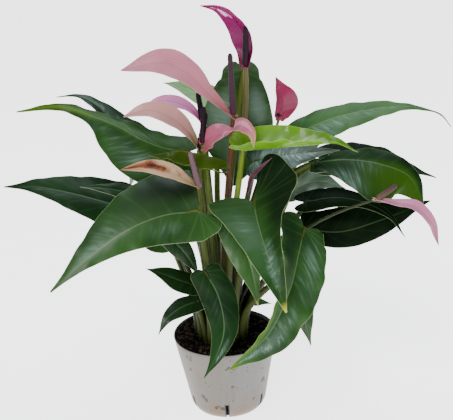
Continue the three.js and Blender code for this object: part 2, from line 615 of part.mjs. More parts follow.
function flower(name, spec) {
  const base = vector(spec.rib[0]);
  const route = stalkRoute(spec.root, base, spec.lean);
  const knots = new THREE.CatmullRomCurve3(route.getSpacedPoints(stalkSteps + 1));
  const stem = tube(knots, Array(stalkSteps + 2).fill(stemRadius), stalkSides);
  addPiece(`stem_${name}`, stem, stemColour, 0.5);
  let spathe = toManifold(blade({ lobe: [5, 5], outline: 'spathe', ...spec }, spatheRib));
  const end = knots.getTangentAt(1);
  // The spathe is cut clear of the stem's top and of the spadix.
  const stemRoom = new THREE.LineCurve3(base.clone().addScaledVector(end, -stemClear), base.clone());
  spathe = spathe.subtract(toManifold(tube(stemRoom, Array(3).fill(stemRadius + gap * 1.3), 6)));
  if (spec.spadix) {
    const tip = vector(spec.spadix);
    const direction = tip.clone().sub(base).normalize();
    const foot = base.clone().addScaledVector(direction, gap + 0.6);
    addPiece(`spadix_${name}`, spadixAlong(foot, tip, spadixRadius), spadixColour, 0.6);
    const room = new THREE.LineCurve3(base.clone(), tip.clone().addScaledVector(direction, 2));
    const roomRadius = spadixRadius * 1.1 + gap;
    spathe = spathe.subtract(toManifold(tube(room, [roomRadius, roomRadius * 0.7], 6)));
  }
  // A scrap left loose by the cuts is dropped.
  [spathe] = spathe.decompose().sort((a, b) => b.volume() - a.volume());
  addPiece(`spathe_${name}`, fromManifold(spathe), spec.colour, 0.35);
}

addPiece('pot', pot(), potColour, 0.6);
addPiece('soil', soil(), soilColour, 0.95);
Object.entries(leaves).forEach(([name, spec]) => {
  addPiece(name, leaf(spec), spec.young ? youngColour : leafColour, 0.35);
});
Object.entries(flowers).forEach(([name, spec]) => flower(name, spec));

export default potted;
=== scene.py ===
import random
from math import cos, pi, radians, sin, tau

import bpy
import numpy as np
from mathutils import Matrix, Vector, noise


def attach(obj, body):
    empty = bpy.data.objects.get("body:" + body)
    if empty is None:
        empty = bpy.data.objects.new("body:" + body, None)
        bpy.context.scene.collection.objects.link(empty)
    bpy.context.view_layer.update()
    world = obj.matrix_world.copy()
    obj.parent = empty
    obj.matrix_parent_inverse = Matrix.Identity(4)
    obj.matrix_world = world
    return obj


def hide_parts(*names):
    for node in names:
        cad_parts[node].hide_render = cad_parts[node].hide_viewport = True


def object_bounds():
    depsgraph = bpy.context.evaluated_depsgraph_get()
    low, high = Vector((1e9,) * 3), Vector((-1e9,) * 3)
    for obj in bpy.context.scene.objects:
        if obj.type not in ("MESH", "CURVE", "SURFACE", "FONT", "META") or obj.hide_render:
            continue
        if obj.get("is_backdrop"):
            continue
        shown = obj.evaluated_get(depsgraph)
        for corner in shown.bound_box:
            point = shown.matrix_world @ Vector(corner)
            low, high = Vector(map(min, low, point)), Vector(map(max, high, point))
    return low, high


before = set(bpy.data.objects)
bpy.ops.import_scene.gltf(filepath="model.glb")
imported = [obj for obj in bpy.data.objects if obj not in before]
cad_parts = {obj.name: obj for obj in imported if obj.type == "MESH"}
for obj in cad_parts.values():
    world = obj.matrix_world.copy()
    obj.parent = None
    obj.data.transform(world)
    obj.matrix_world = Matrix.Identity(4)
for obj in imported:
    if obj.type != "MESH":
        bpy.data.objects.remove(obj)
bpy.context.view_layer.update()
bpy.ops.object.select_all(action="DESELECT")
random.seed(21)
mm = 0.001
print("frame loaded:", len(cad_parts), "nodes")


# Camera, floor and lights

cameraLook = {
    "place": (0.01, -1.043, 0.644),
    "tilt": 21,  # degrees below level
    "roll": 3.3,
    "lens": 79.47,
    "sensor": 36,
}
tilt, roll = radians(cameraLook["tilt"]), radians(cameraLook["roll"])
ahead = Vector((0, cos(tilt), -sin(tilt)))
level = Vector((0, sin(tilt), cos(tilt)))
right = Vector((cos(roll), 0, 0)) - sin(roll) * level
upward = Vector((sin(roll), 0, 0)) + cos(roll) * level
bpy.ops.object.camera_add()
camera = bpy.context.object
camera.name = "photoCamera"
turn = Matrix((right, upward, -ahead)).transposed().to_4x4()
camera.matrix_world = Matrix.Translation(cameraLook["place"]) @ turn
camera.data.sensor_fit = "HORIZONTAL"
camera.data.sensor_width = cameraLook["sensor"]
camera.data.lens = cameraLook["lens"]
camera.data.clip_start = 0.01
bpy.context.scene.camera = camera

lamps = {
    "overhead": {"place": (0.25, 0.35, 1.5), "size": (1.2, 0.7), "power": 12,
                 "colour": (0.8, 0.91, 1.0)},
    "front": {"place": (-0.45, -1.7, 0.95), "size": (0.5, 0.4), "power": 13,
              "colour": (0.92, 0.97, 1.0)},
    "back": {"place": (-1.3, 0.9, 0.9), "size": (0.6, 0.6), "power": 3,
             "colour": (0.85, 0.93, 1.0)},
}
for name, lamp in lamps.items():
    bpy.ops.object.light_add(type="AREA", location=lamp["place"])
    light = bpy.context.object
    light.name = name + "Light"
    towards = Vector((0, 0, 0.2)) - light.location
    light.rotation_euler = towards.to_track_quat("-Z", "Y").to_euler()
    light.data.shape = "RECTANGLE"
    light.data.size, light.data.size_y = lamp["size"]
    light.data.energy = lamp["power"]
    light.data.color = lamp["colour"]

sunLook = {"strength": 1.7, "spread": 25, "colour": (1.0, 0.99, 0.98), "from": (-0.25, -0.6, 1)}
bpy.ops.object.light_add(type="SUN", location=(0, 0, 3))
sun = bpy.context.object
sun.name = "overheadLight"
sun.rotation_euler = (-Vector(sunLook["from"])).to_track_quat("-Z", "Y").to_euler()
sun.data.energy = sunLook["strength"]
sun.data.angle = radians(sunLook["spread"])
sun.data.color = sunLook["colour"]

skyLook = {"colour": (0.9, 0.95, 1.0), "strength": 0.25}
world = bpy.data.worlds.new("studio")
world.use_nodes = True
background = world.node_tree.nodes["Background"]
background.inputs["Color"].default_value = (*skyLook["colour"], 1)
background.inputs["Strength"].default_value = skyLook["strength"]
bpy.context.scene.world = world


# Shader maths

# A shader node's output that can be used in sums.
class Wire:
    def __init__(self, shader, socket):
        self.shader, self.socket = shader, socket

    def maths(self, operation, *others):
        given = dict(enumerate((self, *others)))
        return self.shader.add("ShaderNodeMath", {"operation": operation}, given)

    def __add__(self, other):
        return self.maths("ADD", other)

    def __sub__(self, other):
        return self.maths("SUBTRACT", other)

    def __mul__(self, other):
        return self.maths("MULTIPLY", other)

    def __truediv__(self, other):
        return self.maths("DIVIDE", other)

    def __pow__(self, other):
        return self.maths("POWER", other)

    __radd__ = __add__

    # 0 before low and 1 after high, or the other way round, with soft ends.
    def between(self, low, high):
        limits = (high, low, 1, 0) if low > high else (low, high, 0, 1)
        settings = {"interpolation_type": "SMOOTHSTEP"}
        return self.shader.add("ShaderNodeMapRange", settings, dict(enumerate((self, *limits))))


# A material and the nodes in it.
class Shader:
    def __init__(self, name):
        self.material = bpy.data.materials.new(name)
        self.material.use_nodes = True
        self.tree = self.material.node_tree
        self.tree.nodes.clear()

    def add(self, kind, settings=None, given=None, output=0):
        node = self.tree.nodes.new(kind)
        for key, setting in (settings or {}).items():
            setattr(node, key, setting)
        for key, value in (given or {}).items():
            if isinstance(value, Wire):
                self.tree.links.new(value.socket, node.inputs[key])
            else:
                node.inputs[key].default_value = value
        return Wire(self, node.outputs[output])

    def mix(self, share, first, second):
        first, second = (c if isinstance(c, Wire) else (*c, 1) for c in (first, second))
        return self.add("ShaderNodeMix", {"data_type": "RGBA"}, {0: share, 6: first, 7: second},
                        output=2)

    # Colours laid over a colour: how much of each shows, and the colour.
    def layers(self, colour, *layers):
        for share, tint in layers:
            colour = self.mix(share, colour, tint)
        return colour

    def objectPlace(self, stretch=(1, 1, 1)):
        place = self.add("ShaderNodeTexCoord", output=3)
        return self.add("ShaderNodeMapping", None, {"Vector": place, "Scale": stretch})

    # The x, y and z of a place.
    def split(self, place):
        parts = self.tree.nodes.new("ShaderNodeSeparateXYZ")
        self.tree.links.new(place.socket, parts.inputs[0])
        return [Wire(self, output) for output in parts.outputs]

    def uvPlace(self, name):
        return self.split(self.add("ShaderNodeUVMap", {"uv_map": name}))[:2]

    def distance(self, place, centre):
        return self.add("ShaderNodeVectorMath", {"operation": "DISTANCE"}, {0: place, 1: centre},
                        output=1)

    def speckle(self, scale, detail=2.0, stretch=(1, 1, 1), roughness=0.5, place=None):
        where = place or self.objectPlace(stretch)
        return self.add("ShaderNodeTexNoise", {"normalize": True},
                        {"Vector": where, "Scale": scale, "Detail": detail,
                         "Roughness": roughness})

    # The principled shader and the output; heights are in metres.
    def finish(self, colour, roughness, height=None, **constants):
        given = {"Base Color": colour if isinstance(colour, Wire) else (*colour, 1),
                 "Roughness": roughness}
        if height is not None:
            given["Normal"] = self.add("ShaderNodeBump", None,
                                       {"Height": height, "Strength": 1.0, "Distance": 1.0})
        given.update({key.replace("_", " "): value for key, value in constants.items()})
        surface = self.add("ShaderNodeBsdfPrincipled", None, given)
        output = self.tree.nodes.new("ShaderNodeOutputMaterial")
        self.tree.links.new(surface.socket, output.inputs["Surface"])
        return self.material


# Each of the values times a share.
def times(values, share):
    return tuple(value * share for value in values)


# Selection and meshes

# Selects pieces and nothing else, and makes the first one active.
def choose(pieces):
    bpy.ops.object.select_all(action="DESELECT")
    for piece in pieces:
        piece.select_set(True)
    bpy.context.view_layer.objects.active = pieces[0]


def startEdit():
    bpy.ops.object.mode_set(mode="EDIT")
    bpy.ops.mesh.select_all(action="SELECT")


# Leaves edit mode with all faces turned outwards.
def endEdit():
    bpy.ops.mesh.select_all(action="SELECT")
    bpy.ops.mesh.normals_make_consistent(inside=False)
    bpy.ops.object.mode_set(mode="OBJECT")


def readPoints(mesh):
    points = np.empty(len(mesh.vertices) * 3)
    mesh.vertices.foreach_get("co", points)
    return points.reshape(-1, 3)


# Puts a mesh's points at places in millimetres, and writes a UV map for each pair of values.
def shapeMesh(mesh, place, maps):
    mesh.vertices.foreach_set("co", (place * mm).reshape(-1))
    corner = np.empty(len(mesh.loops), dtype=int)
    mesh.loops.foreach_get("vertex_index", corner)
    for name, pair in maps.items():
        layer = mesh.uv_layers.new(name=name)
        layer.data.foreach_set("uv", np.stack(pair, 1)[corner].reshape(-1))


def copyOf(thing):
    copy = thing.copy()
    copy.data = thing.data.copy()
    bpy.context.collection.objects.link(copy)
    return copy


# Floor

floorLook = {"size": 14, "colour": (0.86, 0.86, 0.87), "glow": 2.6}
bpy.ops.mesh.primitive_plane_add(size=floorLook["size"])
floor = bpy.context.object
floor.name = "floor"
paper = Shader("palePaper")
floor.data.materials.append(paper.finish(floorLook["colour"], 0.9, Specular_IOR_Level=0.1,
                                         Emission_Color=(1, 1, 1, 1),
                                         Emission_Strength=floorLook["glow"]))
floor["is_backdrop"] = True
bpy.ops.object.select_all(action="DESELECT")


# Lines and blades

# Points and headings along a smooth line through the given points, at even steps.
def smoothLine(points, steps=400):
    knots = np.array(points, float)
    knots = np.vstack((2 * knots[0] - knots[1], knots, 2 * knots[-1] - knots[-2]))
    share = np.linspace(0, 1, 61)[:-1, None]
    pieces = []
    for before, start, end, after in zip(knots, knots[1:], knots[2:], knots[3:]):
        gaps = [np.linalg.norm(q - p) ** 0.5
                for p, q in ((before, start), (start, end), (end, after))]
        leaving = ((start - before) / gaps[0] - (end - before) / (gaps[0] + gaps[1])
                   + (end - start) / gaps[1]) * gaps[1]
        arriving = ((end - start) / gaps[1] - (after - start) / (gaps[1] + gaps[2])
                    + (after - end) / gaps[2]) * gaps[1]
        pieces.append(start + leaving * share
                      + (3 * (end - start) - 2 * leaving - arriving) * share ** 2
                      + (2 * (start - end) + leaving + arriving) * share ** 3)
    line = np.vstack((*pieces, knots[-2:-1]))
    run = np.concatenate(([0], np.cumsum(np.linalg.norm(np.diff(line, axis=0), axis=1))))
    even = np.linspace(0, run[-1], steps)
    line = np.stack([np.interp(even, run, line[:, i]) for i in range(3)], axis=1)
    heading = np.gradient(line, axis=0)
    heading /= np.linalg.norm(heading, axis=1, keepdims=True)
    return line, heading, run[-1]


# Values at shares of the way through a table of evenly spaced rows.
def alongRows(rows, share):
    rows = np.array(rows, float)
    place = np.clip(share, 0, 1) * (len(rows) - 1)
    low = np.minimum(place.astype(int), len(rows) - 2)
    part = (place - low)[..., None]
    return rows[low] * (1 - part) + rows[low + 1] * part


# The same on a smooth curve through the rows.
def alongCurve(rows, share):
    rows = np.array(rows, float)
    knots = np.vstack((2 * rows[0] - rows[1], rows, 2 * rows[-1] - rows[-2]))
    place = np.clip(share, 0, 1) * (len(rows) - 1)
    low = np.minimum(place.astype(int), len(rows) - 2)
    f = (place - low)[..., None]
    a, b, c, d = (knots[low + i] for i in range(4))
    return 0.5 * (2 * b + (c - a) * f + (2 * a - 5 * b + 4 * c - d) * f ** 2
                  + (3 * b - a - 3 * c + d) * f ** 3)


# A blade's outline from the inner end of its basal lobe round to the tip: the first number runs
# along the midrib and the second out from it, as shares of the blade's length and half width.
basal = [(-0.7, 0.2), (-1, 0.42), (-0.84, 0.72)]
outlines = {
    "heart": [*basal, (-0.2, 0.94), (0.1, 1), (0.25, 0.94),
              (0.42, 0.75), (0.6, 0.48), (0.77, 0.24), (0.9, 0.09), (1, 0.02)],
    "lance": [(-0.6, 0.16), (-1, 0.42), (-0.7, 0.78), (0.02, 0.94), (0.2, 1), (0.36, 0.95),
              (0.52, 0.78), (0.68, 0.52), (0.82, 0.27), (0.92, 0.1), (1, 0.02)],
    "full": [(-0.6, 0.2), (-1, 0.42), (-0.6, 0.62), (0.02, 0.74), (0.2, 0.9), (0.36, 1),
             (0.55, 0.93), (0.72, 0.62), (0.85, 0.3), (0.94, 0.12), (1, 0.02)],
    "twisted": [*basal, (-0.2, 0.94), (0.1, 1), (0.25, 0.86),
                (0.36, 0.68), (0.44, 0.54), (0.5, 0.45), (0.56, 0.4), (0.63, 0.36),
                (0.77, 0.24), (0.9, 0.1), (1, 0.02)],
    "slim": [*basal, (-0.2, 0.94), (0.1, 1), (0.25, 0.94),
             (0.36, 0.84), (0.44, 0.72), (0.5, 0.56), (0.55, 0.34), (0.61, 0.19),
             (0.75, 0.13), (0.88, 0.07), (1, 0.02)],
    "blunt": [(-0.6, 0.08), (-0.98, 0.2), (-0.75, 0.34), (-0.3, 0.45), (0.03, 0.5), (0.1, 0.61),
              (0.2, 0.77), (0.32, 0.9), (0.46, 1), (0.66, 0.9), (0.84, 0.5), (1, 0.03)],
    "tail": [*basal, (-0.2, 0.94), (0.1, 1), (0.25, 0.95),
             (0.42, 0.78), (0.58, 0.52), (0.72, 0.22), (0.84, 0.07), (1, 0.02)],
    "wing": [*basal, (-0.3, 0.96), (0.02, 1), (0.15, 0.84),
             (0.32, 0.62), (0.5, 0.45), (0.7, 0.28), (0.87, 0.12), (1, 0.02)],
    "shoulder": [(-0.7, 0.2), (-1, 0.46), (-0.84, 0.82), (-0.3, 1.12), (0.02, 1.18),
                 (0.15, 0.92), (0.32, 0.64), (0.5, 0.45), (0.7, 0.28), (0.87, 0.12), (1, 0.02)],
    "round": [(-0.6, 0.2), (-1, 0.4), (-0.3, 0.52), (0.04, 0.68), (0.11, 0.84), (0.23, 0.97),
              (0.36, 1), (0.46, 0.96), (0.55, 0.86), (0.66, 0.76), (0.78, 0.5), (0.9, 0.2),
              (1, 0.02)],
    "hollow": [*basal, (-0.3, 0.96), (0, 1), (0.12, 0.8),
               (0.26, 0.54), (0.42, 0.38), (0.6, 0.28), (0.82, 0.14), (1, 0.02)],
    "spathe": [(-0.6, 0.06), (-0.9, 0.3), (-0.2, 0.5), (0.14, 0.8), (0.34, 1), (0.52, 0.86),
               (0.7, 0.58), (0.86, 0.26), (1, 0.03)],
    "cup": [(-0.6, 0.06), (-0.8, 0.16), (-0.2, 0.26), (0.1, 0.6), (0.3, 0.96), (0.5, 0.86),
            (0.7, 0.58), (0.86, 0.26), (1, 0.03)],
    "long": [(-0.6, 0.06), (-0.9, 0.25), (0.02, 0.3), (0.14, 0.45), (0.3, 0.75), (0.48, 1),
             (0.66, 0.9), (0.84, 0.5), (1, 0.03)],
    "neck": [(-0.6, 0.06), (-0.9, 0.2), (0.02, 0.24), (0.14, 0.33), (0.3, 0.55), (0.48, 0.86),
             (0.64, 1), (0.82, 0.6), (1, 0.03)],
}
# In millimetres, but for the shares: fan of the outline's veins start at the stalk, and over blend
# they straighten; a half is never narrower than narrowest; the surface calms down near its edges.
bladeForm = {"fan": 0.4, "blend": 0.2, "narrowest": 0.015, "calm": 6, "grooveWidth": 1.1,
             "ribWidth": 1.3, "thinEdge": 0.55, "edgeWidth": 5, "stillTip": 0.3, "merge": 0.02}


# A shape with its defaults. Where both halves of a blade are alike, one value stands for the two,
# and one heading stands for all rows of its face.
def fullShape(defaults, shape):
    shape = {**defaults, **shape}
    for key in ("half", "fold", "curl", "lobe", "outline"):
        if not isinstance(shape[key], tuple):
            shape[key] = (shape[key], shape[key])
    if isinstance(shape["face"], tuple):
        shape["face"] = [shape["face"], shape["face"]]
    return shape


# Places on a blade and the way its upper side faces: a along the rib, b out from it, and right
# where the place is on the right half.
def onBlade(shape, a, b, right):
    line, heading, length = shape["line"]
    share = np.clip(a / length, 0, 1)
    ahead = alongRows(heading, share)
    ahead /= np.linalg.norm(ahead, axis=-1, keepdims=True)
    up = alongRows(shape["face"], share)
    up -= ahead * (up * ahead).sum(-1, keepdims=True)
    up /= np.linalg.norm(up, axis=-1, keepdims=True)
    out = np.cross(ahead, up) * np.where(right, 1, -1)[..., None]
    pick = lambda pair: np.where(right, pair[1], pair[0])
    fold = np.radians(pick(shape["fold"])) * (1 - share ** 6)
    bend = np.radians(pick(shape["curl"])) * b / pick(shape["half"])
    straight = np.abs(bend) < 1e-3
    safe = np.where(straight, 1, bend)
    sideways = np.where(straight, b * np.cos(fold), b * (np.sin(fold + bend) - np.sin(fold)) / safe)
    upwards = np.where(straight, b * np.sin(fold), b * (np.cos(fold) - np.cos(fold + bend)) / safe)
    behind = np.maximum(-a, 0)
    upwards = upwards + pick(shape.get("lift", (0, 0))) * (behind / pick(shape["lobe"])) ** 2
    place = (alongRows(line, share) + ahead * np.minimum(a, 0)[..., None]
             + out * sideways[..., None] + up * upwards[..., None])
    facing = up * np.cos(fold + bend)[..., None] - out * np.sin(fold + bend)[..., None]
    return place, facing


# A blade as a thin sheet with its veins, groove and rib, from a grid laid on its surface.
def makeBlade(name, shape, look):
    shape["line"] = smoothLine(shape["rib"])
    length = shape["line"][2]
    rows = look["veins"] * look["rowsPerVein"]
    columns = 2 * look["columns"]
    bpy.ops.mesh.primitive_grid_add(x_subdivisions=columns, y_subdivisions=rows, size=1)
    blade = bpy.context.object
    blade.name = name
    mesh = blade.data
    flat = readPoints(mesh)
    column = np.rint((flat[:, 0] + 0.5) * columns).astype(int)
    row = np.rint((flat[:, 1] + 0.5) * rows).astype(int)
    right = column > look["columns"]
    step = np.abs(column - look["columns"])

    # Where each row runs: from the rib out to the margin.
    turnOf = row / rows
    pick = lambda pair: np.where(right, pair[1], pair[0])
    outline = [alongCurve(outlines[kind], turnOf) for kind in shape["outline"]]
    reach = pick([half[:, 0] for half in outline])
    width = np.maximum(pick([half[:, 1] for half in outline]), bladeForm["narrowest"])
    beyondFan = turnOf - bladeForm["fan"]
    inner = length * np.maximum(beyondFan / (1 - bladeForm["fan"]), 0)
    outer = reach * np.where(reach < 0, pick(shape["lobe"]), length)
    half = width * pick(shape["half"])
    stripLength = np.hypot(outer - inner, half)
    nearMargin = np.maximum(1 - look["hem"] / stripLength, 0.5)
    across = np.where(step == look["columns"], 1, step / (look["columns"] - 1) * nearMargin)
    bow = 1 + look["bow"] * np.clip(beyondFan / bladeForm["blend"], 0, 1)
    a = inner + (outer - inner) * across ** bow
    b = half * across
    place, facing = onBlade(shape, a, b, right)

    # How far each place is from its row's neighbours, the nearest vein, the rib and the margin.
    order = np.lexsort((column, row))
    grid = place[order].reshape(rows + 1, columns + 1, 3)
    gaps = np.linalg.norm(np.diff(grid, axis=0), axis=2)
    run = np.vstack((np.zeros(columns + 1), np.cumsum(gaps, axis=0)))
    fromVein = np.full(run.shape, 99.0)
    per = look["rowsPerVein"]
    for side, offset in ((slice(0, look["columns"] + 1), per // 2),
                         (slice(look["columns"], None), per // 2 + look["stagger"])):
        for vein in range(offset, rows, per):
            fromVein[:, side] = np.minimum(fromVein[:, side],
                                           np.abs(run[:, side] - run[vein, side]))
    back = np.empty_like(order)
    back[order] = np.arange(len(order))
    fromVein = fromVein.reshape(-1)[back]
    spacing = gaps.mean(axis=0)[column] * per
    fromMargin = stripLength * (1 - across)
    ribShare = np.clip(a / length, 0, 1)
    fromRib = b + np.maximum(-a, 0)

    # Quilting between the veins, a groove over the midrib and a gently waved margin.
    puff = np.clip(fromVein / np.maximum(spacing * 0.5, 0.5), 0, 1)
    puff = look["quilt"] * np.sin(puff * pi / 2) ** 2
    for distance in (fromMargin, fromRib):
        puff *= np.clip(distance / bladeForm["calm"], 0, 1)
    groove = np.exp(-(b / bladeForm["grooveWidth"]) ** 2) * (1 - ribShare) * (a > -0.5)
    seed = look["seed"] + 7.3 * right
    wave = look["wave"] * across ** 3 * (
        np.sin(a / look["waveLength"] * tau + seed)
        + 0.6 * np.sin(a / look["waveLength"] * 1.7 * tau + 2.1 * seed))
    wave *= np.clip((length - a) / (bladeForm["stillTip"] * length), 0, 1)
    rise = look["thickness"] / 2 + puff - look["groove"] * groove + wave
    shapeMesh(mesh, place + facing * rise[:, None], {
        "blade": (ribShare, np.where(right, 1, -1) * across), "veins": (fromVein, fromRib),
        "edges": (a, fromMargin), "rows": (turnOf, across)})
    mesh.uv_layers.remove(mesh.uv_layers["UVMap"])

    thick = blade.vertex_groups.new(name="thick")
    rib = look["ribDepth"] * (1 - ribShare) * np.exp(-(b / bladeForm["ribWidth"]) ** 2) * (a > -1)
    inside = np.clip(fromMargin / bladeForm["edgeWidth"], 0, 1)
    thin = bladeForm["thinEdge"]
    depth = look["thickness"] * (thin + (1 - thin) * inside) + rib
    full = look["thickness"] + look["ribDepth"]
    for i, weight in enumerate(depth / full):
        thick.add((i,), float(weight), "REPLACE")
    startEdit()
    bpy.ops.mesh.remove_doubles(threshold=bladeForm["merge"] * mm)
    bpy.ops.object.mode_set(mode="OBJECT")
    sheet = blade.modifiers.new("thickness", "SOLIDIFY")
    sheet.thickness = full * mm
    sheet.offset = -1
    sheet.vertex_group = "thick"
    sheet.material_offset = 1
    sheet.material_offset_rim = 0
    bpy.ops.object.modifier_apply(modifier=sheet.name)
    bpy.ops.object.shade_smooth()
    return blade


# Stalks

soilTop = 89
stalkLook = {"rootDepth": 24, "rise": 6, "sweep": 0.35, "pitch": 8, "mostLean": 0.5,
             "leanShare": 1.3, "bend": 14, "mostBend": 0.4, "handle": 0.3, "end": 0.3}


# A smooth tube through control points with handles: (place, handle before, handle after, radius).
def makeTube(name, stops, sides=3, steps=14):
    bpy.ops.curve.primitive_bezier_curve_add(location=(0, 0, 0))
    tube = bpy.context.object
    tube.name = name
    curve = tube.data
    curve.dimensions = "3D"
    curve.resolution_u = steps
    curve.bevel_depth = mm
    curve.bevel_resolution = sides
    curve.use_fill_caps = True
    spline = curve.splines[0]
    spline.bezier_points.add(len(stops) - 2)
    for point, (place, before, after, radius) in zip(spline.bezier_points, stops):
        point.handle_left_type = point.handle_right_type = "FREE"
        point.co = Vector(place) * mm
        point.handle_left = Vector(before) * mm
        point.handle_right = Vector(after) * mm
        point.radius = radius
    bpy.ops.object.convert(target="MESH")
    tube = bpy.context.object
    bpy.ops.object.shade_smooth()
    return tube


# A stalk out of its hole in the soil and up to top; thick holds its radii at the foot, in the
# middle and at the top. It runs on to after, where that is given.
def makeStalk(name, root, top, thick, lean=None, after=None):
    ring, slot = root
    angle = slot * pi / (3 * ring) if ring else 0
    place = Vector((cos(angle), sin(angle), 0)) * ring * stalkLook["pitch"]
    foot = place + Vector((0, 0, soilTop - stalkLook["rootDepth"]))
    ground = place + Vector((0, 0, soilTop + stalkLook["rise"]))
    top = Vector(top)
    outwards = Vector((top.x - place.x, top.y - place.y, 0))
    reach = (top - ground).length
    if lean is None:
        lean = stalkLook["leanShare"] * outwards.length / (top.z - ground.z)
        lean = min(stalkLook["mostLean"], lean)
    arrival = (outwards.normalized() * lean + Vector((0, 0, 1))).normalized()
    swing = reach * stalkLook["sweep"]
    h0, h1 = ground + Vector((0, 0, swing)), top - arrival * swing
    # The sweep is split in two, so that a radius can be set part of the way up.
    part = 1 - min(stalkLook["bend"] / reach, stalkLook["mostBend"])
    p01, p12, p23 = ground.lerp(h0, part), h0.lerp(h1, part), h1.lerp(top, part)
    p012, p123 = p01.lerp(p12, part), p12.lerp(p23, part)
    bend = p012.lerp(p123, part)
    low, middle, high = thick
    handle = stalkLook["handle"]
    stops = [(foot, foot, foot.lerp(ground, handle), low),
             (ground, ground.lerp(foot, handle), p01, low),
             (bend, p012, p123, middle)]
    if after is None:
        stops.append((top, p23, top, high))
    else:
        after = Vector(after)
        onwards = (after - top) * handle
        stops.append((top, p23, top + arrival * onwards.length, high))
        stops.append((after, after - onwards, after, high * stalkLook["end"]))
    return makeTube(name, stops)


# Joins pieces into the first one, hangs it on the root body and hides the CAD nodes it stands for.
def settle(pieces, nodes):
    choose(pieces)
    if len(pieces) > 1:
        bpy.ops.object.join()
    piece = bpy.context.view_layer.objects.active
    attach(piece, "root")
    if nodes:
        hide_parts(*nodes)
    bpy.ops.object.select_all(action="DESELECT")
    return piece


# Leaf materials

# Leaf colours. deep is the plain green; dusk and shaded are that green darkened, painted shade for
# leaves in the plant's shade. grey is a grey-green partly painted sheen, pale a green lightened by
# painted light shining through a thin leaf, and mid, olive and young are leaves' own greens.
shades = {
    "deep": {"dark": (0.007, 0.03, 0.004), "light": (0.022, 0.074, 0.01),
             "vein": (0.085, 0.15, 0.055), "hem": (0.28, 0.35, 0.15), "veining": 0.16,
             "under": (0.024, 0.06, 0.01), "stalk": (0.046, 0.064, 0.003)},
    "dusk": {"dark": (0.003, 0.014, 0.003), "light": (0.009, 0.036, 0.007),
             "vein": (0.07, 0.125, 0.055), "hem": (0.22, 0.28, 0.13), "veining": 0.18,
             "under": (0.014, 0.038, 0.008), "stalk": (0.034, 0.048, 0.003)},
    "shaded": {"dark": (0.001, 0.004, 0.001), "light": (0.0035, 0.013, 0.0025),
               "vein": (0.035, 0.07, 0.025), "hem": (0.14, 0.19, 0.09), "veining": 0.18,
               "under": (0.006, 0.016, 0.004), "stalk": (0.016, 0.022, 0.002)},
    "grey": {"dark": (0.13, 0.2, 0.14), "light": (0.22, 0.3, 0.22),
             "vein": (0.25, 0.32, 0.24), "hem": (0.28, 0.35, 0.25), "veining": 0.4,
             "under": (0.06, 0.1, 0.05), "stalk": (0.05, 0.065, 0.008)},
    "mid": {"dark": (0.018, 0.064, 0.012), "light": (0.045, 0.125, 0.028),
            "vein": (0.1, 0.19, 0.06), "hem": (0.22, 0.32, 0.1), "veining": 0.25,
            "under": (0.05, 0.12, 0.03), "stalk": (0.05, 0.07, 0.006)},
    "pale": {"dark": (0.1, 0.22, 0.07), "light": (0.18, 0.33, 0.12),
             "vein": (0.26, 0.4, 0.2), "hem": (0.32, 0.46, 0.22), "veining": 0.4,
             "under": (0.12, 0.24, 0.08), "stalk": (0.06, 0.09, 0.008)},
    "olive": {"dark": (0.016, 0.034, 0.001), "light": (0.036, 0.07, 0.002),
              "vein": (0.07, 0.11, 0.01), "hem": (0.14, 0.19, 0.04), "veining": 0.3,
              "under": (0.032, 0.06, 0.002), "stalk": (0.045, 0.07, 0.003)},
    "young": {"dark": (0.05, 0.15, 0.002), "light": (0.115, 0.275, 0.006),
              "vein": (0.2, 0.35, 0.04), "hem": (0.26, 0.42, 0.06), "veining": 0.3,
              "under": (0.1, 0.22, 0.004), "stalk": (0.09, 0.13, 0.004)},
}


# The colour of painted sheens, highlights painted into a leaf.
paintedSheenColour = (0.2, 0.3, 0.25)


# How far a blade's surface is from a place on it, as a share of its length.
def distanceTo(along, across, place, aside):
    return ((along - place) ** 2 + ((across - aside) * 0.5) ** 2) ** 0.5


# Colours that spread from a place of the blade, most of them painted light and shade: yellow-green
# light shining through a leaf, darker painted shade under other leaves, a pale painted reflection.
# Each gives the share along the rib, the share across, how far it reaches, and the colour.
def addTintsAndPaintedLight(skin, colour, along, across, cloud, glows):
    for place, aside, reach, tint in glows:
        edge = distanceTo(along, across, place, aside) + (cloud - 0.5) * 0.2
        colour = skin.mix(edge.between(reach, reach * 0.25), colour, tint)
    return colour


# Painted sheens: pale streaks beside the veins, highlights painted into the colour as a gloss would
# leave them.
# Places and reaches are like a glow's, with how strong each is.
def addPaintedSheens(skin, colour, along, across, sheens, glint, streaky):
    turn = skin.uvPlace("rows")[0]
    strands = skin.add("ShaderNodeCombineXYZ", None, {0: turn * 46, 1: across * 1.3})
    streak = skin.speckle(1.0, 3, roughness=0.6, place=strands).between(0.44, 0.7)
    for place, aside, reach, strength in sheens:
        near = distanceTo(along, across, place, aside)
        share = near.between(reach, reach * 0.1) * (streak * streaky + (1 - streaky)) * strength
        colour = skin.mix(share, colour, glint)
    return colour
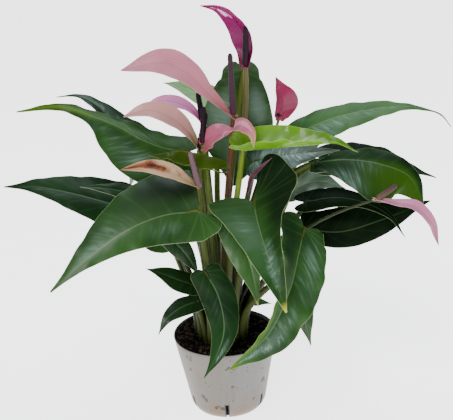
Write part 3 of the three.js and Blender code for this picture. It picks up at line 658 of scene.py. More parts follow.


# The upper side of a leaf: cloudy, with veins, a pale margin and, where wanted, another tip, glows
# (mostly painted light and shade) and painted sheens.
def upperSkin(name, shade, glows=(), gloss=0.38, tip=None, coat=0.1, sheens=(), shine=0.22,
              glint=paintedSheenColour, streaky=0.8):
    skin = Shader(name)
    along, across = skin.uvPlace("blade")
    fromVein, fromRib = skin.uvPlace("veins")
    forward, fromMargin = skin.uvPlace("edges")
    cloud = skin.speckle(16)
    fleck = skin.speckle(500, 3)
    colour = skin.mix(cloud.between(0.3, 0.7), shade["dark"], shade["light"])
    colour = skin.mix(fromVein.between(4.0, 0.0) * 0.35, colour, shade["light"])
    colour = addTintsAndPaintedLight(skin, colour, along, across, cloud, glows)
    if sheens:
        colour = addPaintedSheens(skin, colour, along, across, sheens, glint, streaky)
    if tip:
        colour = skin.mix((along + (cloud - 0.5) * 0.1).between(0.9, 0.99), colour, tip)
    fine = fromVein.between(0.3, 0.08) * fromMargin.between(3.0, 12.0) * shade["veining"]
    fan = fromVein.between(0.6, 0.15) * forward.between(30.0, 2.0) * shade["veining"]
    rib = fromRib.between(0.95, 0.4) * along.between(1.0, 0.5)
    colour = skin.layers(colour, (fine + fan, shade["vein"]), (rib * 0.75, shade["vein"]),
                         (fromMargin.between(0.5, 0.15) * 0.8, shade["hem"]))
    roughness = gloss + (cloud - 0.5) * 0.1 + (fleck - 0.5) * 0.06
    height = fleck * 0.00002 + skin.speckle(120) * 0.0001
    return skin.finish(colour, roughness, height, Coat_Weight=coat, Coat_Roughness=0.14,
                       Specular_IOR_Level=shine)


# The lower side, duller and without a margin.
def underSkin(name, shade, glows=(), sheens=(), glint=paintedSheenColour):
    skin = Shader(name)
    along, across = skin.uvPlace("blade")
    fromVein, fromRib = skin.uvPlace("veins")
    cloud = skin.speckle(30)
    colour = skin.mix(cloud.between(0.3, 0.7), times(shade["under"], 0.72), shade["under"])
    colour = addTintsAndPaintedLight(skin, colour, along, across, cloud, glows)
    if sheens:
        colour = addPaintedSheens(skin, colour, along, across, sheens, glint, 0.55)
    colour = skin.layers(colour, (fromVein.between(0.45, 0.1) * 0.3, shade["vein"]),
                         (fromRib.between(1.4, 0.7) * 0.6, shade["vein"]))
    height = fromVein.between(0.8, 0.0) * 0.0001 + skin.speckle(260) * 0.00004
    return skin.finish(colour, 0.48 + (cloud - 0.5) * 0.15, height, Specular_IOR_Level=0.08)


# A stalk or stem, darker by streaks: its colours near the soil and at the top. For leaves' stalks
# the darker colour near the soil is painted shade inside the plant.
def stalkSkin(name, low, high):
    skin = Shader(name)
    streak = skin.speckle(260, 3, stretch=(1, 1, 0.06))
    spots = skin.speckle(900)
    rise = skin.split(skin.objectPlace())[2]
    colour = skin.layers(low, (rise.between(0.14, 0.34), high),
                         (streak.between(0.42, 0.62) * 0.3, times(high, 0.55)),
                         (spots.between(0.66, 0.74) * 0.4, times(low, 0.35)))
    return skin.finish(colour, 0.5 + (streak - 0.5) * 0.2, streak * 0.00012,
                       Specular_IOR_Level=0.18)


leafLook = {"veins": 14, "rowsPerVein": 6, "columns": 15, "stagger": 3, "bow": 0.22, "hem": 0.7,
            "quilt": 0.1, "groove": 0.35, "wave": 0.7, "waveLength": 34, "thickness": 0.7,
            "ribDepth": 1.2, "seed": 0}
smallForm = {"veins": 11, "columns": 11, "rowsPerVein": 5, "wave": 0.35}
leafShape = {"fold": 5, "curl": -15, "outline": "lance"}
stalkThick = (4.2, 3.1, 2.2)  # millimetres: at the foot, near the top and at the blade
joint = {"sink": 1.2, "sinkAfter": 0.72, "inward": 0.09}  # of the stalk into the midrib
grown = []


# A leaf: its blade, and its stalk with a short run into the midrib. Glows, mostly painted light and
# shade, and sheens, painted highlights, are rows as above, and those named below are for the lower
# side.
def growLeaf(name, shape, shadeName="deep", below=(), belowPaintedSheens=(), form=None, **look):
    shape = fullShape(leafShape, shape)
    widest = max(shape["half"])
    settings = {**leafLook, "seed": 1.7 * len(grown), **(smallForm if widest < 22 else {}),
                **(form or {})}
    blade = makeBlade(name, shape, settings)
    along = np.array([0, shape["line"][2] * joint["inward"]])
    place, facing = onBlade(shape, along, np.zeros(2), along < 0)
    top = Vector(place[0] - facing[0] * joint["sink"])
    after = Vector(place[1] - facing[1] * joint["sinkAfter"])
    thick = times(stalkThick, 0.75) if widest < 18 else stalkThick
    stalk = makeStalk(name + "_stalk", shape["root"], top, thick, shape.get("lean"), after)
    shade = shades[shadeName]
    blade.data.materials.append(upperSkin(name + "Upper", shade, **look))
    blade.data.materials.append(underSkin(name + "Under", shade, below, belowPaintedSheens,
                                          look.get("glint", paintedSheenColour)))
    # Painted shade: the stalk darkened towards the soil, inside the plant.
    stalk.data.materials.append(stalkSkin(name + "Stalk", times(shade["stalk"], 0.6),
                                          times(shade["stalk"], 1.25)))
    grown.append(settle([blade, stalk], [name]))


# Leaves: rib, the way the upper side faces, half widths left and right, fold at the rib and
# curl towards the margin in degrees, the reach of each basal lobe, and the stalk's ring and slot

# Sheens on these leaves are painted highlights. On this first leaf the yellow-green glows at the
# tip, on both sides, are painted light shining through it.
growLeaf("leaf_upper_left", {
    "rib": [(-28, 17, 309), (-54, 12, 316), (-80, 7, 330), (-102, 4, 346), (-128, 4, 359),
            (-163, 8, 371), (-211, 12, 367)],
    "face": [(0, -1, 0.3), (0, -1, 0.3), (0, -0.9, 0.45), (0, -0.8, 0.6), (0, -0.7, 0.7)],
    "half": (49, 21), "fold": (25, -30), "curl": (-10, -25), "lobe": (16, 12), "root": (2, 6),
    "outline": ("slim", "twisted"),
}, "deep", glows=((0.45, 0.3, 0.3, (0.03, 0.08, 0.02)), (0.95, 0, 0.5, (0.062, 0.125, 0.001)),
                     (0.76, 0, 0.26, (0.062, 0.125, 0.001))),
   sheens=((0.32, -0.6, 0.26, 0.45), (0.3, 0.35, 0.3, 0.35)), shine=0.12, coat=0.03,
   below=((0.95, 0, 0.85, (0.06, 0.115, 0.001)),))
growLeaf("leaf_upper_left_behind", {
    "rib": [(-39, 45, 297), (-73, 50, 306), (-108, 58, 333), (-121, 60, 347), (-136, 63, 360),
            (-154, 67, 367), (-176, 70, 366)],
    "face": [(0, -0.3, 0.95), (0, -0.2, 1)],
    "half": (26, 32), "fold": 10, "curl": -25, "lobe": 12, "root": (2, 5), "outline": "heart",
}, "dusk", sheens=((0.6, 0.2, 0.4, 0.4),))
growLeaf("leaf_far_left", {
    "rib": [(-62, 20, 228), (-92, 19, 240), (-124, 17, 254), (-164, 15, 269), (-202, 15, 279),
            (-238, 20, 279)],
    "face": (-0.1, -0.55, 0.83), "half": (30, 36), "curl": -20, "lobe": 14, "root": (3, 9),
}, "dusk", shine=0.12, coat=0.05, sheens=((0.75, -0.4, 0.25, 0.25),))
growLeaf("leaf_far_left_small", {
    "rib": [(-70, 8, 262), (-100, 0, 272), (-126, -8, 281), (-148, -12, 285)],
    "face": (0, -0.5, 0.85), "half": (14, 12), "fold": 10, "curl": -20, "lobe": 10, "root": (3, 10),
}, "dusk")
growLeaf("leaf_front_left", {
    "rib": [(-19, -58, 266), (-55, -66, 267), (-91, -78, 259), (-133, -97, 238), (-174, -118, 210)],
    "face": [(0, -0.6, 0.8), (-0.1, -0.6, 0.8), (-0.3, -0.7, 0.6)],
    "half": (32, 56), "fold": (-15, 5), "curl": (-25, -15), "lobe": (22, 3), "root": (3, 12),
    "outline": "heart",
}, "deep", glows=((0.1, 0.6, 0.3, (0.004, 0.018, 0.003)), (0.75, 0.2, 0.3, (0.036, 0.088, 0.03))),
   sheens=((0.62, 0.3, 0.34, 0.3), (0.25, -0.5, 0.2, 0.2)))
growLeaf("leaf_young_left", {
    "rib": [(-8, -32, 304), (-26, -33, 309), (-46, -33, 317), (-69, -32, 323)],
    "face": (0, -0.35, 0.94),
    "half": (14, 15), "fold": (30, 34), "curl": (15, 20), "lobe": (22, 24), "root": (2, 8),
}, "olive", shine=0.12, coat=0.04, glows=((0.05, 0, 0.35, (0.045, 0.09, 0.003)),),
   below=((0.05, 0, 0.4, (0.04, 0.08, 0.002)),), form={"wave": 1.1, "waveLength": 22})
# The pale glint on the upper side and the white band on the lower side are painted highlights.
growLeaf("leaf_young_right", {
    "rib": [(31, -35, 324), (66, -38, 326), (101, -40, 327), (127, -43, 328), (151, -47, 318)],
    "face": (0, -0.15, 0.98),
    "half": (24, 18), "fold": (45, 40), "curl": 15, "lobe": 14, "root": (1, 5),
}, "young", gloss=0.3, coat=0.22, glint=(0.5, 0.66, 0.36), sheens=((0.5, -0.3, 0.3, 0.5),),
   belowPaintedSheens=((0.45, 0.55, 0.45, 1.0),), form={"wave": 1.2, "waveLength": 30})
# The pale blue-green glow and the sheens here are painted reflections of the light above.
growLeaf("leaf_right_shaded", {
    "rib": [(44, 0, 299), (72, -4, 305), (104, -6, 307), (137, -6, 308)],
    "face": (0, -0.5, 0.85),
    "half": 26, "curl": -20, "lobe": 10, "root": (1, 0), "outline": "heart",
}, "dusk", gloss=0.32, glows=((0.3, 0.3, 0.5, (0.04, 0.085, 0.06)),),
   glint=(0.34, 0.46, 0.4), sheens=((0.35, 0.3, 0.6, 1.0),))
# The lighter green glow on one half is painted light, the dark glow near the base of the other half
# painted shade.
growLeaf("leaf_front_centre", {
    "rib": [(39, -52, 271), (42, -82, 257), (48, -112, 239), (56, -132, 214), (64, -142, 184)],
    "face": [(0, -0.4, 0.9), (0.1, -0.7, 0.7), (0.2, -0.9, 0.3)],
    "half": (54, 48), "fold": (30, 5), "curl": (0, -5), "lobe": (42, 8), "root": (3, 15),
    "outline": ("hollow", "wing"), "lift": (14, 0),
}, "deep", tip=(0.36, 0.34, 0.03),
   glows=((0.35, 0.6, 0.5, (0.026, 0.078, 0.02)), (0.1, -0.8, 0.45, (0.003, 0.013, 0.003))),
   shine=0.12, coat=0.04,
   sheens=((0.62, -0.15, 0.26, 0.9), (0.25, 0.5, 0.22, 0.25), (0.75, 0.2, 0.2, 0.4)))
growLeaf("leaf_front_centre_under", {
    "rib": [(16, -48, 246), (27, -62, 223), (35, -76, 191), (38, -84, 163)],
    "face": [(0, -0.8, 0.6), (0, -0.9, 0.4)], "half": (13, 20), "lobe": 8, "root": (3, 14),
}, "deep", tip=(0.3, 0.34, 0.04))
# The dark glow near the base, under the centre leaf, is painted shade.
growLeaf("leaf_front_right", {
    "rib": [(93, -38, 232), (84, -62, 211), (72, -86, 182), (46, -108, 142), (2, -112, 104)],
    "face": [(0.2, -0.5, 0.8), (0.4, -0.85, 0.4), (0.3, -0.9, 0.4)],
    "half": (35, 28), "fold": (5, 25), "curl": (-15, 5), "lobe": (3, 12), "root": (3, 17),
    "outline": ("round", "shoulder"),
}, "deep", form={"wave": 1.3},
   glows=((0.95, 0.7, 0.38, (0.042, 0.112, 0.001)), (0.62, 0.9, 0.22, (0.038, 0.1, 0.001)),
          (0.15, 0.5, 0.28, (0.006, 0.026, 0.005))),
   shine=0.12, coat=0.05,
   sheens=((0.68, -0.4, 0.24, 0.85), (0.25, -0.5, 0.3, 0.35), (0.85, -0.3, 0.16, 0.6)),
   tip=(0.06, 0.13, 0.002))
growLeaf("leaf_front_right_under", {
    "rib": [(82, -52, 206), (85, -60, 180), (87, -68, 145), (94, -72, 106)],
    "face": [(0.3, -0.8, 0.5), (0.3, -0.9, 0.2)],
    "half": (22, 18), "fold": 0, "lobe": 10, "root": (3, 16),
})
growLeaf("leaf_right_broad", {
    "rib": [(123, 45, 281), (156, 36, 284), (192, 28, 282), (219, 22, 272), (248, 18, 261)],
    "face": [(0, -0.35, 0.93), (0, -0.4, 0.9)],
    "half": (38, 24), "fold": 0, "curl": -20, "lobe": 12, "root": (2, 1),
    "outline": "heart", "lean": 4,
}, "dusk", shine=0.12, coat=0.05, sheens=((0.35, 0.2, 0.3, 0.3),))
# The yellow-green glow towards the tip is painted light shining through the leaf.
growLeaf("leaf_right_broad_lower", {
    "rib": [(108, -2, 294), (143, -4, 296), (180, -8, 290), (212, -13, 275), (226, -20, 246)],
    "face": [(0, -0.6, 0.8), (0.1, -0.7, 0.7)],
    "half": (18, 44), "fold": (5, 0), "curl": (-10, -20), "lobe": (8, 5), "root": (2, 0),
    "outline": "long", "lean": 4,
}, "dusk",
   glows=((0.8, 0.4, 0.6, (0.022, 0.064, 0.003)),), shine=0.1, coat=0.03,
   sheens=((0.25, 0.7, 0.28, 0.6), (0.4, 0.1, 0.2, 0.2)))
# Its grey-green is partly the leaf's own colour and partly painted sheen.
growLeaf("leaf_right_grey", {
    "rib": [(85, 50, 242), (103, 50, 251), (122, 49, 253), (149, 46, 244)],
    "face": (0, -0.6, 0.8), "half": (20, 14), "curl": -20, "lobe": 8, "root": (3, 2),
}, "grey")
growLeaf("leaf_right_dark", {
    "rib": [(98, 4, 246), (131, 0, 251), (164, -6, 245), (191, -12, 229), (207, -16, 205)],
    "face": (0, -0.35, 0.93),
    "half": (20, 15), "fold": (5, 0), "curl": -20, "lobe": 12, "root": (3, 1), "outline": "heart",
}, "shaded", shine=0.03, coat=0.0)
growLeaf("leaf_right_lowest", {
    "rib": [(95, -2, 216), (136, -4, 211), (181, -2, 221), (239, 4, 239)],
    "face": [(0, -0.8, 0.6), (0, -0.7, 0.7)],
    "half": (31, 19), "fold": (5, -5), "curl": -20, "lobe": (4, 8), "root": (3, 0),
    "outline": "full",
}, "shaded", gloss=0.5, shine=0.04, coat=0.0)
growLeaf("leaf_back_right", {
    "rib": [(82, 62, 290), (103, 66, 309), (135, 68, 322), (172, 66, 330), (211, 60, 335),
            (242, 56, 331), (260, 52, 324), (271, 49, 310)],
    "face": (0, -0.5, 0.85), "half": (21, 28), "lobe": 10, "root": (3, 3), "outline": "tail",
}, "mid", gloss=0.42, shine=0.15,
   sheens=((0.15, 0.5, 0.35, 1.0), (0.5, 0.2, 0.3, 0.35)))
growLeaf("leaf_back_upright", {
    "rib": [(38, 62, 387), (35, 66, 340), (30, 68, 293), (20, 66, 248)],
    "face": (0, -0.9, 0.4), "half": (36, 48), "lobe": 10, "root": (2, 3), "outline": "blunt",
}, "deep", gloss=0.34, shine=0.15,
   streaky=0.3, sheens=((0.36, 0.55, 0.26, 0.55), (0.3, -0.55, 0.22, 0.6), (0.6, 0.3, 0.3, 0.2)))
growLeaf("leaf_back_left", {
    "rib": [(6, 105, 340), (-20, 112, 352), (-38, 116, 359), (-56, 118, 364)],
    "face": (0, -0.5, 0.85), "half": (16, 20), "fold": 10, "curl": -10, "lobe": 10, "root": (3, 5),
}, "pale")
growLeaf("leaf_low_left", {
    "rib": [(-56, 45, 195), (-70, 44, 190), (-82, 44, 188), (-94, 46, 191)],
    "face": (0, -0.6, 0.8), "half": 15, "lobe": 10, "root": (4, 10),
}, "mid")
growLeaf("leaf_low_left_hanging", {
    "rib": [(-56, -18, 222), (-45, -20, 211), (-34, -22, 195), (-25, -24, 176)],
    "face": [(0, -0.8, 0.6), (0, -0.9, 0.4)], "half": 12, "lobe": 8, "root": (4, 12),
}, "dusk")
growLeaf("leaf_over_pot_left", {
    "rib": [(-34, -24, 166), (-50, -32, 177), (-66, -40, 189), (-81, -48, 199)],
    "face": (0, -0.6, 0.8), "half": (15, 14), "lobe": 14, "root": (4, 14),
}, "dusk")
growLeaf("leaf_over_pot_front", {
    "rib": [(-17, -54, 194), (-4, -74, 173), (0, -92, 142), (-11, -100, 113), (-25, -102, 90)],
    "face": [(0, -0.6, 0.8), (0, -0.9, 0.4), (0, -0.9, 0.3)],
    "half": 19, "lobe": 6, "root": (4, 16),
}, "dusk", gloss=0.46, shine=0.05, coat=0.02,
   sheens=((0.72, -0.6, 0.16, 0.9), (0.35, 0.3, 0.2, 0.1)),
   glows=((0.97, 0, 0.2, (0.018, 0.055, 0.006)),))
growLeaf("leaf_over_rim", {
    "rib": [(-29, -40, 152), (-43, -56, 155), (-60, -75, 152), (-71, -85, 137)],
    "face": (0, -0.6, 0.8), "half": (13, 12), "lobe": 10, "root": (4, 15),
}, "dusk")
growLeaf("leaf_on_soil", {
    "rib": [(18, 34, 118), (32, 39, 112), (46, 44, 106), (58, 48, 100)],
    "face": (0, -0.3, 0.95), "half": 12, "curl": -10, "lobe": 8, "root": (4, 4),
}, "mid")
growLeaf("leaf_rear_left", {
    "rib": [(-42, 80, 262), (-70, 105, 266), (-96, 132, 250), (-112, 156, 222)],
    "face": [(-0.2, 0.2, 0.95), (-0.4, 0.5, 0.7)],
    "half": 32, "fold": 8, "curl": -20, "lobe": 20, "root": (3, 6), "outline": "heart",
})
growLeaf("leaf_rear_right", {
    "rib": [(58, 90, 258), (85, 120, 262), (110, 150, 246), (128, 178, 214)],
    "face": [(0.2, 0.2, 0.95), (0.4, 0.5, 0.7)],
    "half": 32, "fold": 8, "curl": -20, "lobe": 20, "root": (3, 4), "outline": "heart",
})
growLeaf("leaf_rear_low", {
    "rib": [(5, 85, 200), (8, 115, 190), (6, 140, 160), (0, 155, 122)],
    "face": [(0, 0.3, 0.95), (0, 0.9, 0.4)],
    "half": 26, "fold": 8, "curl": -20, "lobe": 16, "root": (4, 6), "outline": "heart",
})
print("leaves grown:", len(grown))


# Flowers

# The waxy skin of a spathe, with faint veins along it: base, body and tip colours, and patches of
# other
# colours: scorched ones for the faded one, painted highlights for the top one.
def spatheSkin(name, look):
    skin = Shader(name)
    along, across = skin.uvPlace("blade")
    fromRib = skin.uvPlace("veins")[1]
    fromMargin = skin.uvPlace("edges")[1]
    cloud = skin.speckle(55, 3)
    fleck = skin.speckle(700, 3)
    ripple = (across * 9 + along * across * 4 + (cloud - 0.5) * 1.5) * pi
    lines = ripple.maths("SINE") * 0.5 + 0.5
    colour = skin.layers(
        look["base"],
        ((along + (cloud - 0.5) * 0.2).between(0.02, 0.35), look["body"]),
        ((along + (cloud - 0.5) * 0.15).between(0.72, 0.98), look["tip"]),
        (cloud.between(0.3, 0.7) * 0.35, times(look["body"], 0.72)),
        ((lines ** 3) * 0.22, look["vein"]),
        (fromRib.between(1.1, 0.3) * 0.4, look["vein"]),
        (fleck.between(0.6, 0.75) * 0.15, look["vein"]),
        (fromMargin.between(0.9, 0.2) * 0.4, look["hem"]))
    for place, aside, reach, tint in look.get("patches", ()):
        edge = (distanceTo(along, across, place, aside) + (cloud - 0.5) * look.get("ragged", 0.35)
                + (fleck - 0.5) * 0.15)
        colour = skin.mix(edge.between(reach, reach * 0.55), colour, tint)
    height = lines * 0.0001 + fleck * 0.00003
    return skin.finish(colour, look["roughness"] + (cloud - 0.5) * 0.12, height,
                       Coat_Weight=look.get("coat", 0.12), Coat_Roughness=0.12,
                       Specular_IOR_Level=look.get("shine", 0.3))


def spadixSkin(name, low, high, mark):
    skin = Shader(name)
    along = skin.uvPlace("blade")[0]
    pebble = skin.add("ShaderNodeTexVoronoi", {"feature": "F1"},
                      {"Vector": skin.objectPlace(), "Scale": 720})
    fleck = skin.speckle(900, 3)
    colour = skin.layers(low, (along.between(0.0, 0.9), high),
                         (pebble.between(0.5, 0.1) * 0.5, mark),
                         (fleck.between(0.55, 0.72) * 0.5, times(low, 0.4)))
    return skin.finish(colour, 0.5 + (fleck - 0.5) * 0.3, pebble * -0.0002,
                       Specular_IOR_Level=0.12)


spatheLook = {"veins": 9, "rowsPerVein": 6, "columns": 14, "stagger": 3, "bow": 0.3, "hem": 0.7,
              "quilt": 0.12, "groove": 0.15, "wave": 0.35, "waveLength": 30, "thickness": 0.8,
              "ribDepth": 0.4, "seed": 0}
spadixLook = {"radius": 3.8, "taper": 0.32, "baseRound": 3.0, "tipRound": 4.5, "around": 48,
              "along": 150, "floretsAround": 9, "floret": 2.0, "bump": 0.28}
flowerShape = {"fold": 10, "curl": 10, "lobe": 5, "outline": "long"}
stemThick = (3.4, 3.0, 2.5)
spadixRise = 0.9  # from the stem's end to the spadix


# A tapering finger between two points, covered with florets in crossing spirals.
def makeSpadix(name, base, tip):
    look = spadixLook
    bpy.ops.mesh.primitive_uv_sphere_add(segments=look["around"], ring_count=look["along"],
                                         radius=1)
    spadix = bpy.context.object
    spadix.name = name
    points = readPoints(spadix.data)
    base, tip = np.array(base, float), np.array(tip, float)
    axis = tip - base
    length = np.linalg.norm(axis)
    axis /= length
    side = np.cross(axis, (0.0, 1.0, 0.0))
    side /= np.linalg.norm(side)
    other = np.cross(axis, side)
    share = np.arccos(np.clip(-points[:, 2], -1, 1)) / pi  # evenly spaced from base to tip
    angle = np.arctan2(points[:, 1], points[:, 0])
    fromBase = np.clip(share * length / look["baseRound"], 0, 1)
    fromTip = np.clip((1 - share) * length / look["tipRound"], 0, 1)
    rounded = np.sqrt(1 - (1 - fromBase) ** 2) * np.sqrt(1 - (1 - fromTip) ** 2)
    turns = share * length / look["floret"] * pi
    florets = look["floretsAround"] * angle
    bumps = np.abs(np.cos((florets + turns) / 2) * np.cos((florets - turns) / 2))
    radius = look["radius"] * (1 - look["taper"] * share) * rounded
    radius += look["bump"] * (bumps - 0.5) * np.clip(rounded * 1.2, 0, 1) * (rounded > 0.05)
    place = (base + axis * (share * length)[:, None]
             + (side * np.cos(angle)[:, None] + other * np.sin(angle)[:, None]) * radius[:, None])
    shapeMesh(spadix.data, place, {"blade": (share, bumps)})
    startEdit()
    endEdit()
    bpy.ops.object.shade_smooth()
    return spadix


# A flower: its stem, spathe and spadix, each a piece of its own.
def openFlower(name, shape, look):
    shape = fullShape(flowerShape, shape)
    stem = makeStalk("stem_" + name, shape["root"], shape["rib"][0],
                     look.get("stemThick", stemThick), shape.get("lean"))
    stem.data.materials.append(stalkSkin(name + "Stem", *look["stem"]))
    settle([stem], ["stem_" + name])
    spathe = makeBlade("spathe_" + name, shape, {**spatheLook, "seed": 2.3 * len(name)})
    for side in ("Inner", "Outer"):
        spathe.data.materials.append(spatheSkin(name + side, look))
    settle([spathe], ["spathe_" + name])
    if "spadixTip" in shape:
        base, tip = Vector(shape["rib"][0]), Vector(shape["spadixTip"])
        base += (tip - base).normalized() * spadixRise
        spadix = makeSpadix("spadix_" + name, base, tip)
        spadix.data.materials.append(spadixSkin(name + "Spadix", *look["spadix"]))
        settle([spadix], ["spadix_" + name])
    print("flower open:", name)


oliveStem = ((0.05, 0.066, 0.004), (0.075, 0.095, 0.008))
darkStem = ((0.014, 0.018, 0.004), (0.02, 0.026, 0.006))
brownStem = ((0.04, 0.034, 0.006), (0.1, 0.08, 0.022))
redStem = ((0.035, 0.04, 0.004), (0.1, 0.03, 0.014))
darkSpadix = ((0.016, 0.003, 0.01), (0.007, 0.002, 0.006), (0.045, 0.012, 0.028))
greySpadix = ((0.045, 0.016, 0.028), (0.028, 0.012, 0.02), (0.085, 0.045, 0.062))

openFlower("top", {
    "rib": [(39, 12, 402), (41, 17, 420), (38, 18, 438), (28, 13, 455), (14, 5, 467),
            (-5, -2, 472)],
    "face": [(-0.5, -0.85, 0), (-0.5, -0.8, -0.3), (-0.2, -0.8, -0.5)],
    "half": 15, "fold": 15, "curl": 20, "root": (1, 1),
    "outline": "cup", "spadixTip": (41, 4, 447), "lean": 0,
}, {
    "base": (0.1, 0.002, 0.03), "body": (0.19, 0.004, 0.08), "tip": (0.22, 0.01, 0.09),
    "vein": (0.1, 0.002, 0.035), "hem": (0.36, 0.06, 0.17), "roughness": 0.22,
    # The pale patches are painted highlights.
    "patches": ((0.74, -0.35, 0.11, (0.62, 0.36, 0.52)), (0.62, -0.1, 0.06, (0.4, 0.14, 0.28))),
    "stem": brownStem, "spadix": darkSpadix, "coat": 0.03, "shine": 0.15})
openFlower("tall_pale", {
    "rib": [(23, -8, 354), (9, -12, 369), (-6, -14, 386), (-22, -14, 404), (-50, -12, 417),
            (-92, -12, 411)],
    "face": [(0.5, -0.7, 0.5), (0.2, -0.8, 0.6), (0, -0.8, 0.6)],
    "half": (15, 17), "fold": 5, "root": (0, 0), "outline": "neck", "spadixTip": (23, -8, 422),
}, {
    "base": (0.3, 0.1, 0.08), "body": (0.45, 0.155, 0.2), "tip": (0.42, 0.135, 0.2),
    "vein": (0.34, 0.11, 0.15), "hem": (0.62, 0.4, 0.38), "roughness": 0.42,
    "stem": redStem, "spadix": greySpadix})
openFlower("violet", {
    "rib": [(-10, 15, 340), (-21, 15, 356), (-39, 12, 367), (-57, 10, 370), (-71, 8, 366)],
    "face": [(0.4, -0.5, 0.8), (0.1, -0.6, 0.8)], "half": 9, "root": (1, 2),
    "spadixTip": (-14, 17, 376),
}, {
    "base": (0.56, 0.12, 0.3), "body": (0.82, 0.27, 0.54), "tip": (0.84, 0.36, 0.6),
    "vein": (0.4, 0.05, 0.26), "hem": (0.7, 0.34, 0.58), "roughness": 0.36,
    "stem": oliveStem,
    "spadix": ((0.008, 0.003, 0.006), (0.004, 0.002, 0.004), (0.03, 0.01, 0.02))})
openFlower("beige", {
    "rib": [(-16, -12, 319), (-24, -20, 340), (-43, -25, 361), (-67, -28, 371), (-92, -30, 366)],
    "face": [(0.5, -0.5, 0.7), (0.1, -0.7, 0.75)], "half": 13, "root": (1, 3),
    "spadixTip": (-6, -8, 359),
}, {
    "base": (0.2, 0.2, 0.05), "body": (0.5, 0.25, 0.22), "tip": (0.52, 0.22, 0.24),
    "vein": (0.34, 0.14, 0.14), "hem": (0.62, 0.44, 0.34), "roughness": 0.42,
    "stem": oliveStem, "spadix": darkSpadix})
openFlower("rose", {
    "rib": [(-11, -23, 329), (-5, -30, 336), (4, -36, 341), (15, -43, 344), (29, -48, 355),
            (40, -51, 347), (42, -54, 332)],
    "face": [(0, -0.8, 0.6), (0, -0.7, 0.7), (0, 0.1, 1), (0.2, -0.7, 0.7), (0.4, -0.7, 0.5)],
    "half": (15, 16), "fold": 5, "lobe": 6, "root": (1, 4),
    "outline": "spathe", "spadixTip": (-8, -22, 370),
}, {
    "base": (0.34, 0.08, 0.1), "body": (0.42, 0.1, 0.17), "tip": (0.46, 0.34, 0.1),
    "vein": (0.28, 0.05, 0.1), "hem": (0.58, 0.3, 0.28), "roughness": 0.36,
    "patches": ((0.68, -0.3, 0.2, (0.55, 0.2, 0.26)),),
    "stem": oliveStem, "spadix": darkSpadix})
openFlower("faded", {
    "rib": [(-18, -31, 283), (-28, -43, 295), (-47, -53, 310), (-70, -57, 318), (-97, -60, 318)],
    "face": [(0.4, -0.6, 0.7), (0, -0.8, 0.6)], "half": (8, 10), "fold": 5, "root": (2, 7),
    "spadixTip": (-24, -60, 333),
}, {
    "base": (0.3, 0.24, 0.08), "body": (0.46, 0.31, 0.18), "tip": (0.26, 0.08, 0.02),
    "vein": (0.34, 0.19, 0.1), "hem": (0.6, 0.36, 0.18), "roughness": 0.5,
    "patches": ((0.78, 0.25, 0.4, (0.17, 0.036, 0.003)), (0.84, 0.2, 0.2, (0.05, 0.007, 0.002)),
                (0.66, 0.35, 0.18, (0.035, 0.006, 0.003))),
    "ragged": 0.8,
    "stem": oliveStem, "spadix": ((0.14, 0.075, 0.085), (0.1, 0.055, 0.07), (0.19, 0.12, 0.13))})
openFlower("back", {
    "rib": [(75, 40, 335), (80, 36, 353), (76, 38, 370), (73, 44, 381)],
    "face": [(0, 0.9, 0.3), (0, 0.9, 0.1)], "half": (19, 9), "fold": 15, "curl": 15, "root": (2, 2),
    "outline": "spathe", "spadixTip": (77, 52, 366),
}, {
    "base": (0.24, 0.01, 0.05), "body": (0.22, 0.01, 0.055), "tip": (0.28, 0.022, 0.085),
    "vein": (0.17, 0.006, 0.035), "hem": (0.42, 0.07, 0.15), "roughness": 0.38,
    "stem": brownStem, "stemThick": (2.6, 1.8, 1.4), "spadix": darkSpadix})
openFlower("right", {
    "rib": [(171, -40, 261), (190, -45, 258), (211, -50, 254), (227, -52, 237), (236, -55, 210)],
    "face": [(0, -0.3, 0.95), (0.3, -0.5, 0.8)], "half": 9, "root": (2, 11),
    "spadixTip": (194, -38, 276), "lean": 3.5,
}, {
    "base": (0.52, 0.25, 0.28), "body": (0.54, 0.19, 0.31), "tip": (0.24, 0.04, 0.11),
    "vein": (0.38, 0.09, 0.18), "hem": (0.5, 0.22, 0.3), "roughness": 0.36,
    "stem": darkStem, "stemThick": (2.4, 1.5, 1.3),
    "spadix": ((0.09, 0.055, 0.035), (0.06, 0.025, 0.035), (0.14, 0.1, 0.07))})
openFlower("narrow", {
    "rib": [(34, -24, 273), (39, -29, 290), (50, -37, 305), (61, -43, 316)],
    "face": (0, -0.9, 0.4), "half": 4, "fold": 40, "curl": 25, "root": (2, 10), "outline": "spathe",
}, {
    "base": (0.06, 0.03, 0.025), "body": (0.1, 0.025, 0.045), "tip": (0.13, 0.04, 0.07),
    "vein": (0.07, 0.02, 0.03), "hem": (0.24, 0.12, 0.14), "roughness": 0.4,
    "stem": darkStem, "stemThick": (2.6, 2.0, 1.5)})


# Pot

potLook = {
    "sides": 96, "foot": 39, "rim": 60, "heel": 44.5, "slots": 6, "slotWidth": 3.0,
    "slotHeight": 20, "slotTurn": -3, "slotReach": 14, "sharp": 35,
}
# Radii and heights: round the heel, up the outer wall, over the rim, down the inner wall, inwards
heelRings = [(39.9, 0.35), (42.6, 3.9), (44.1, 7.0)]
outerWall = ((44.65, 8.8), (60, 91.55))
rimRings = [(59.85, 91.9), (59.5, 92.0), (59.0, 92.0), (58.7, 91.85), (58.6, 91.5)]
innerWall = ((43.2, 9.0), (58.6, 91.2))
floorRings = [(38.4, 1.6), (20, 1.4)]
wallSteps = 16

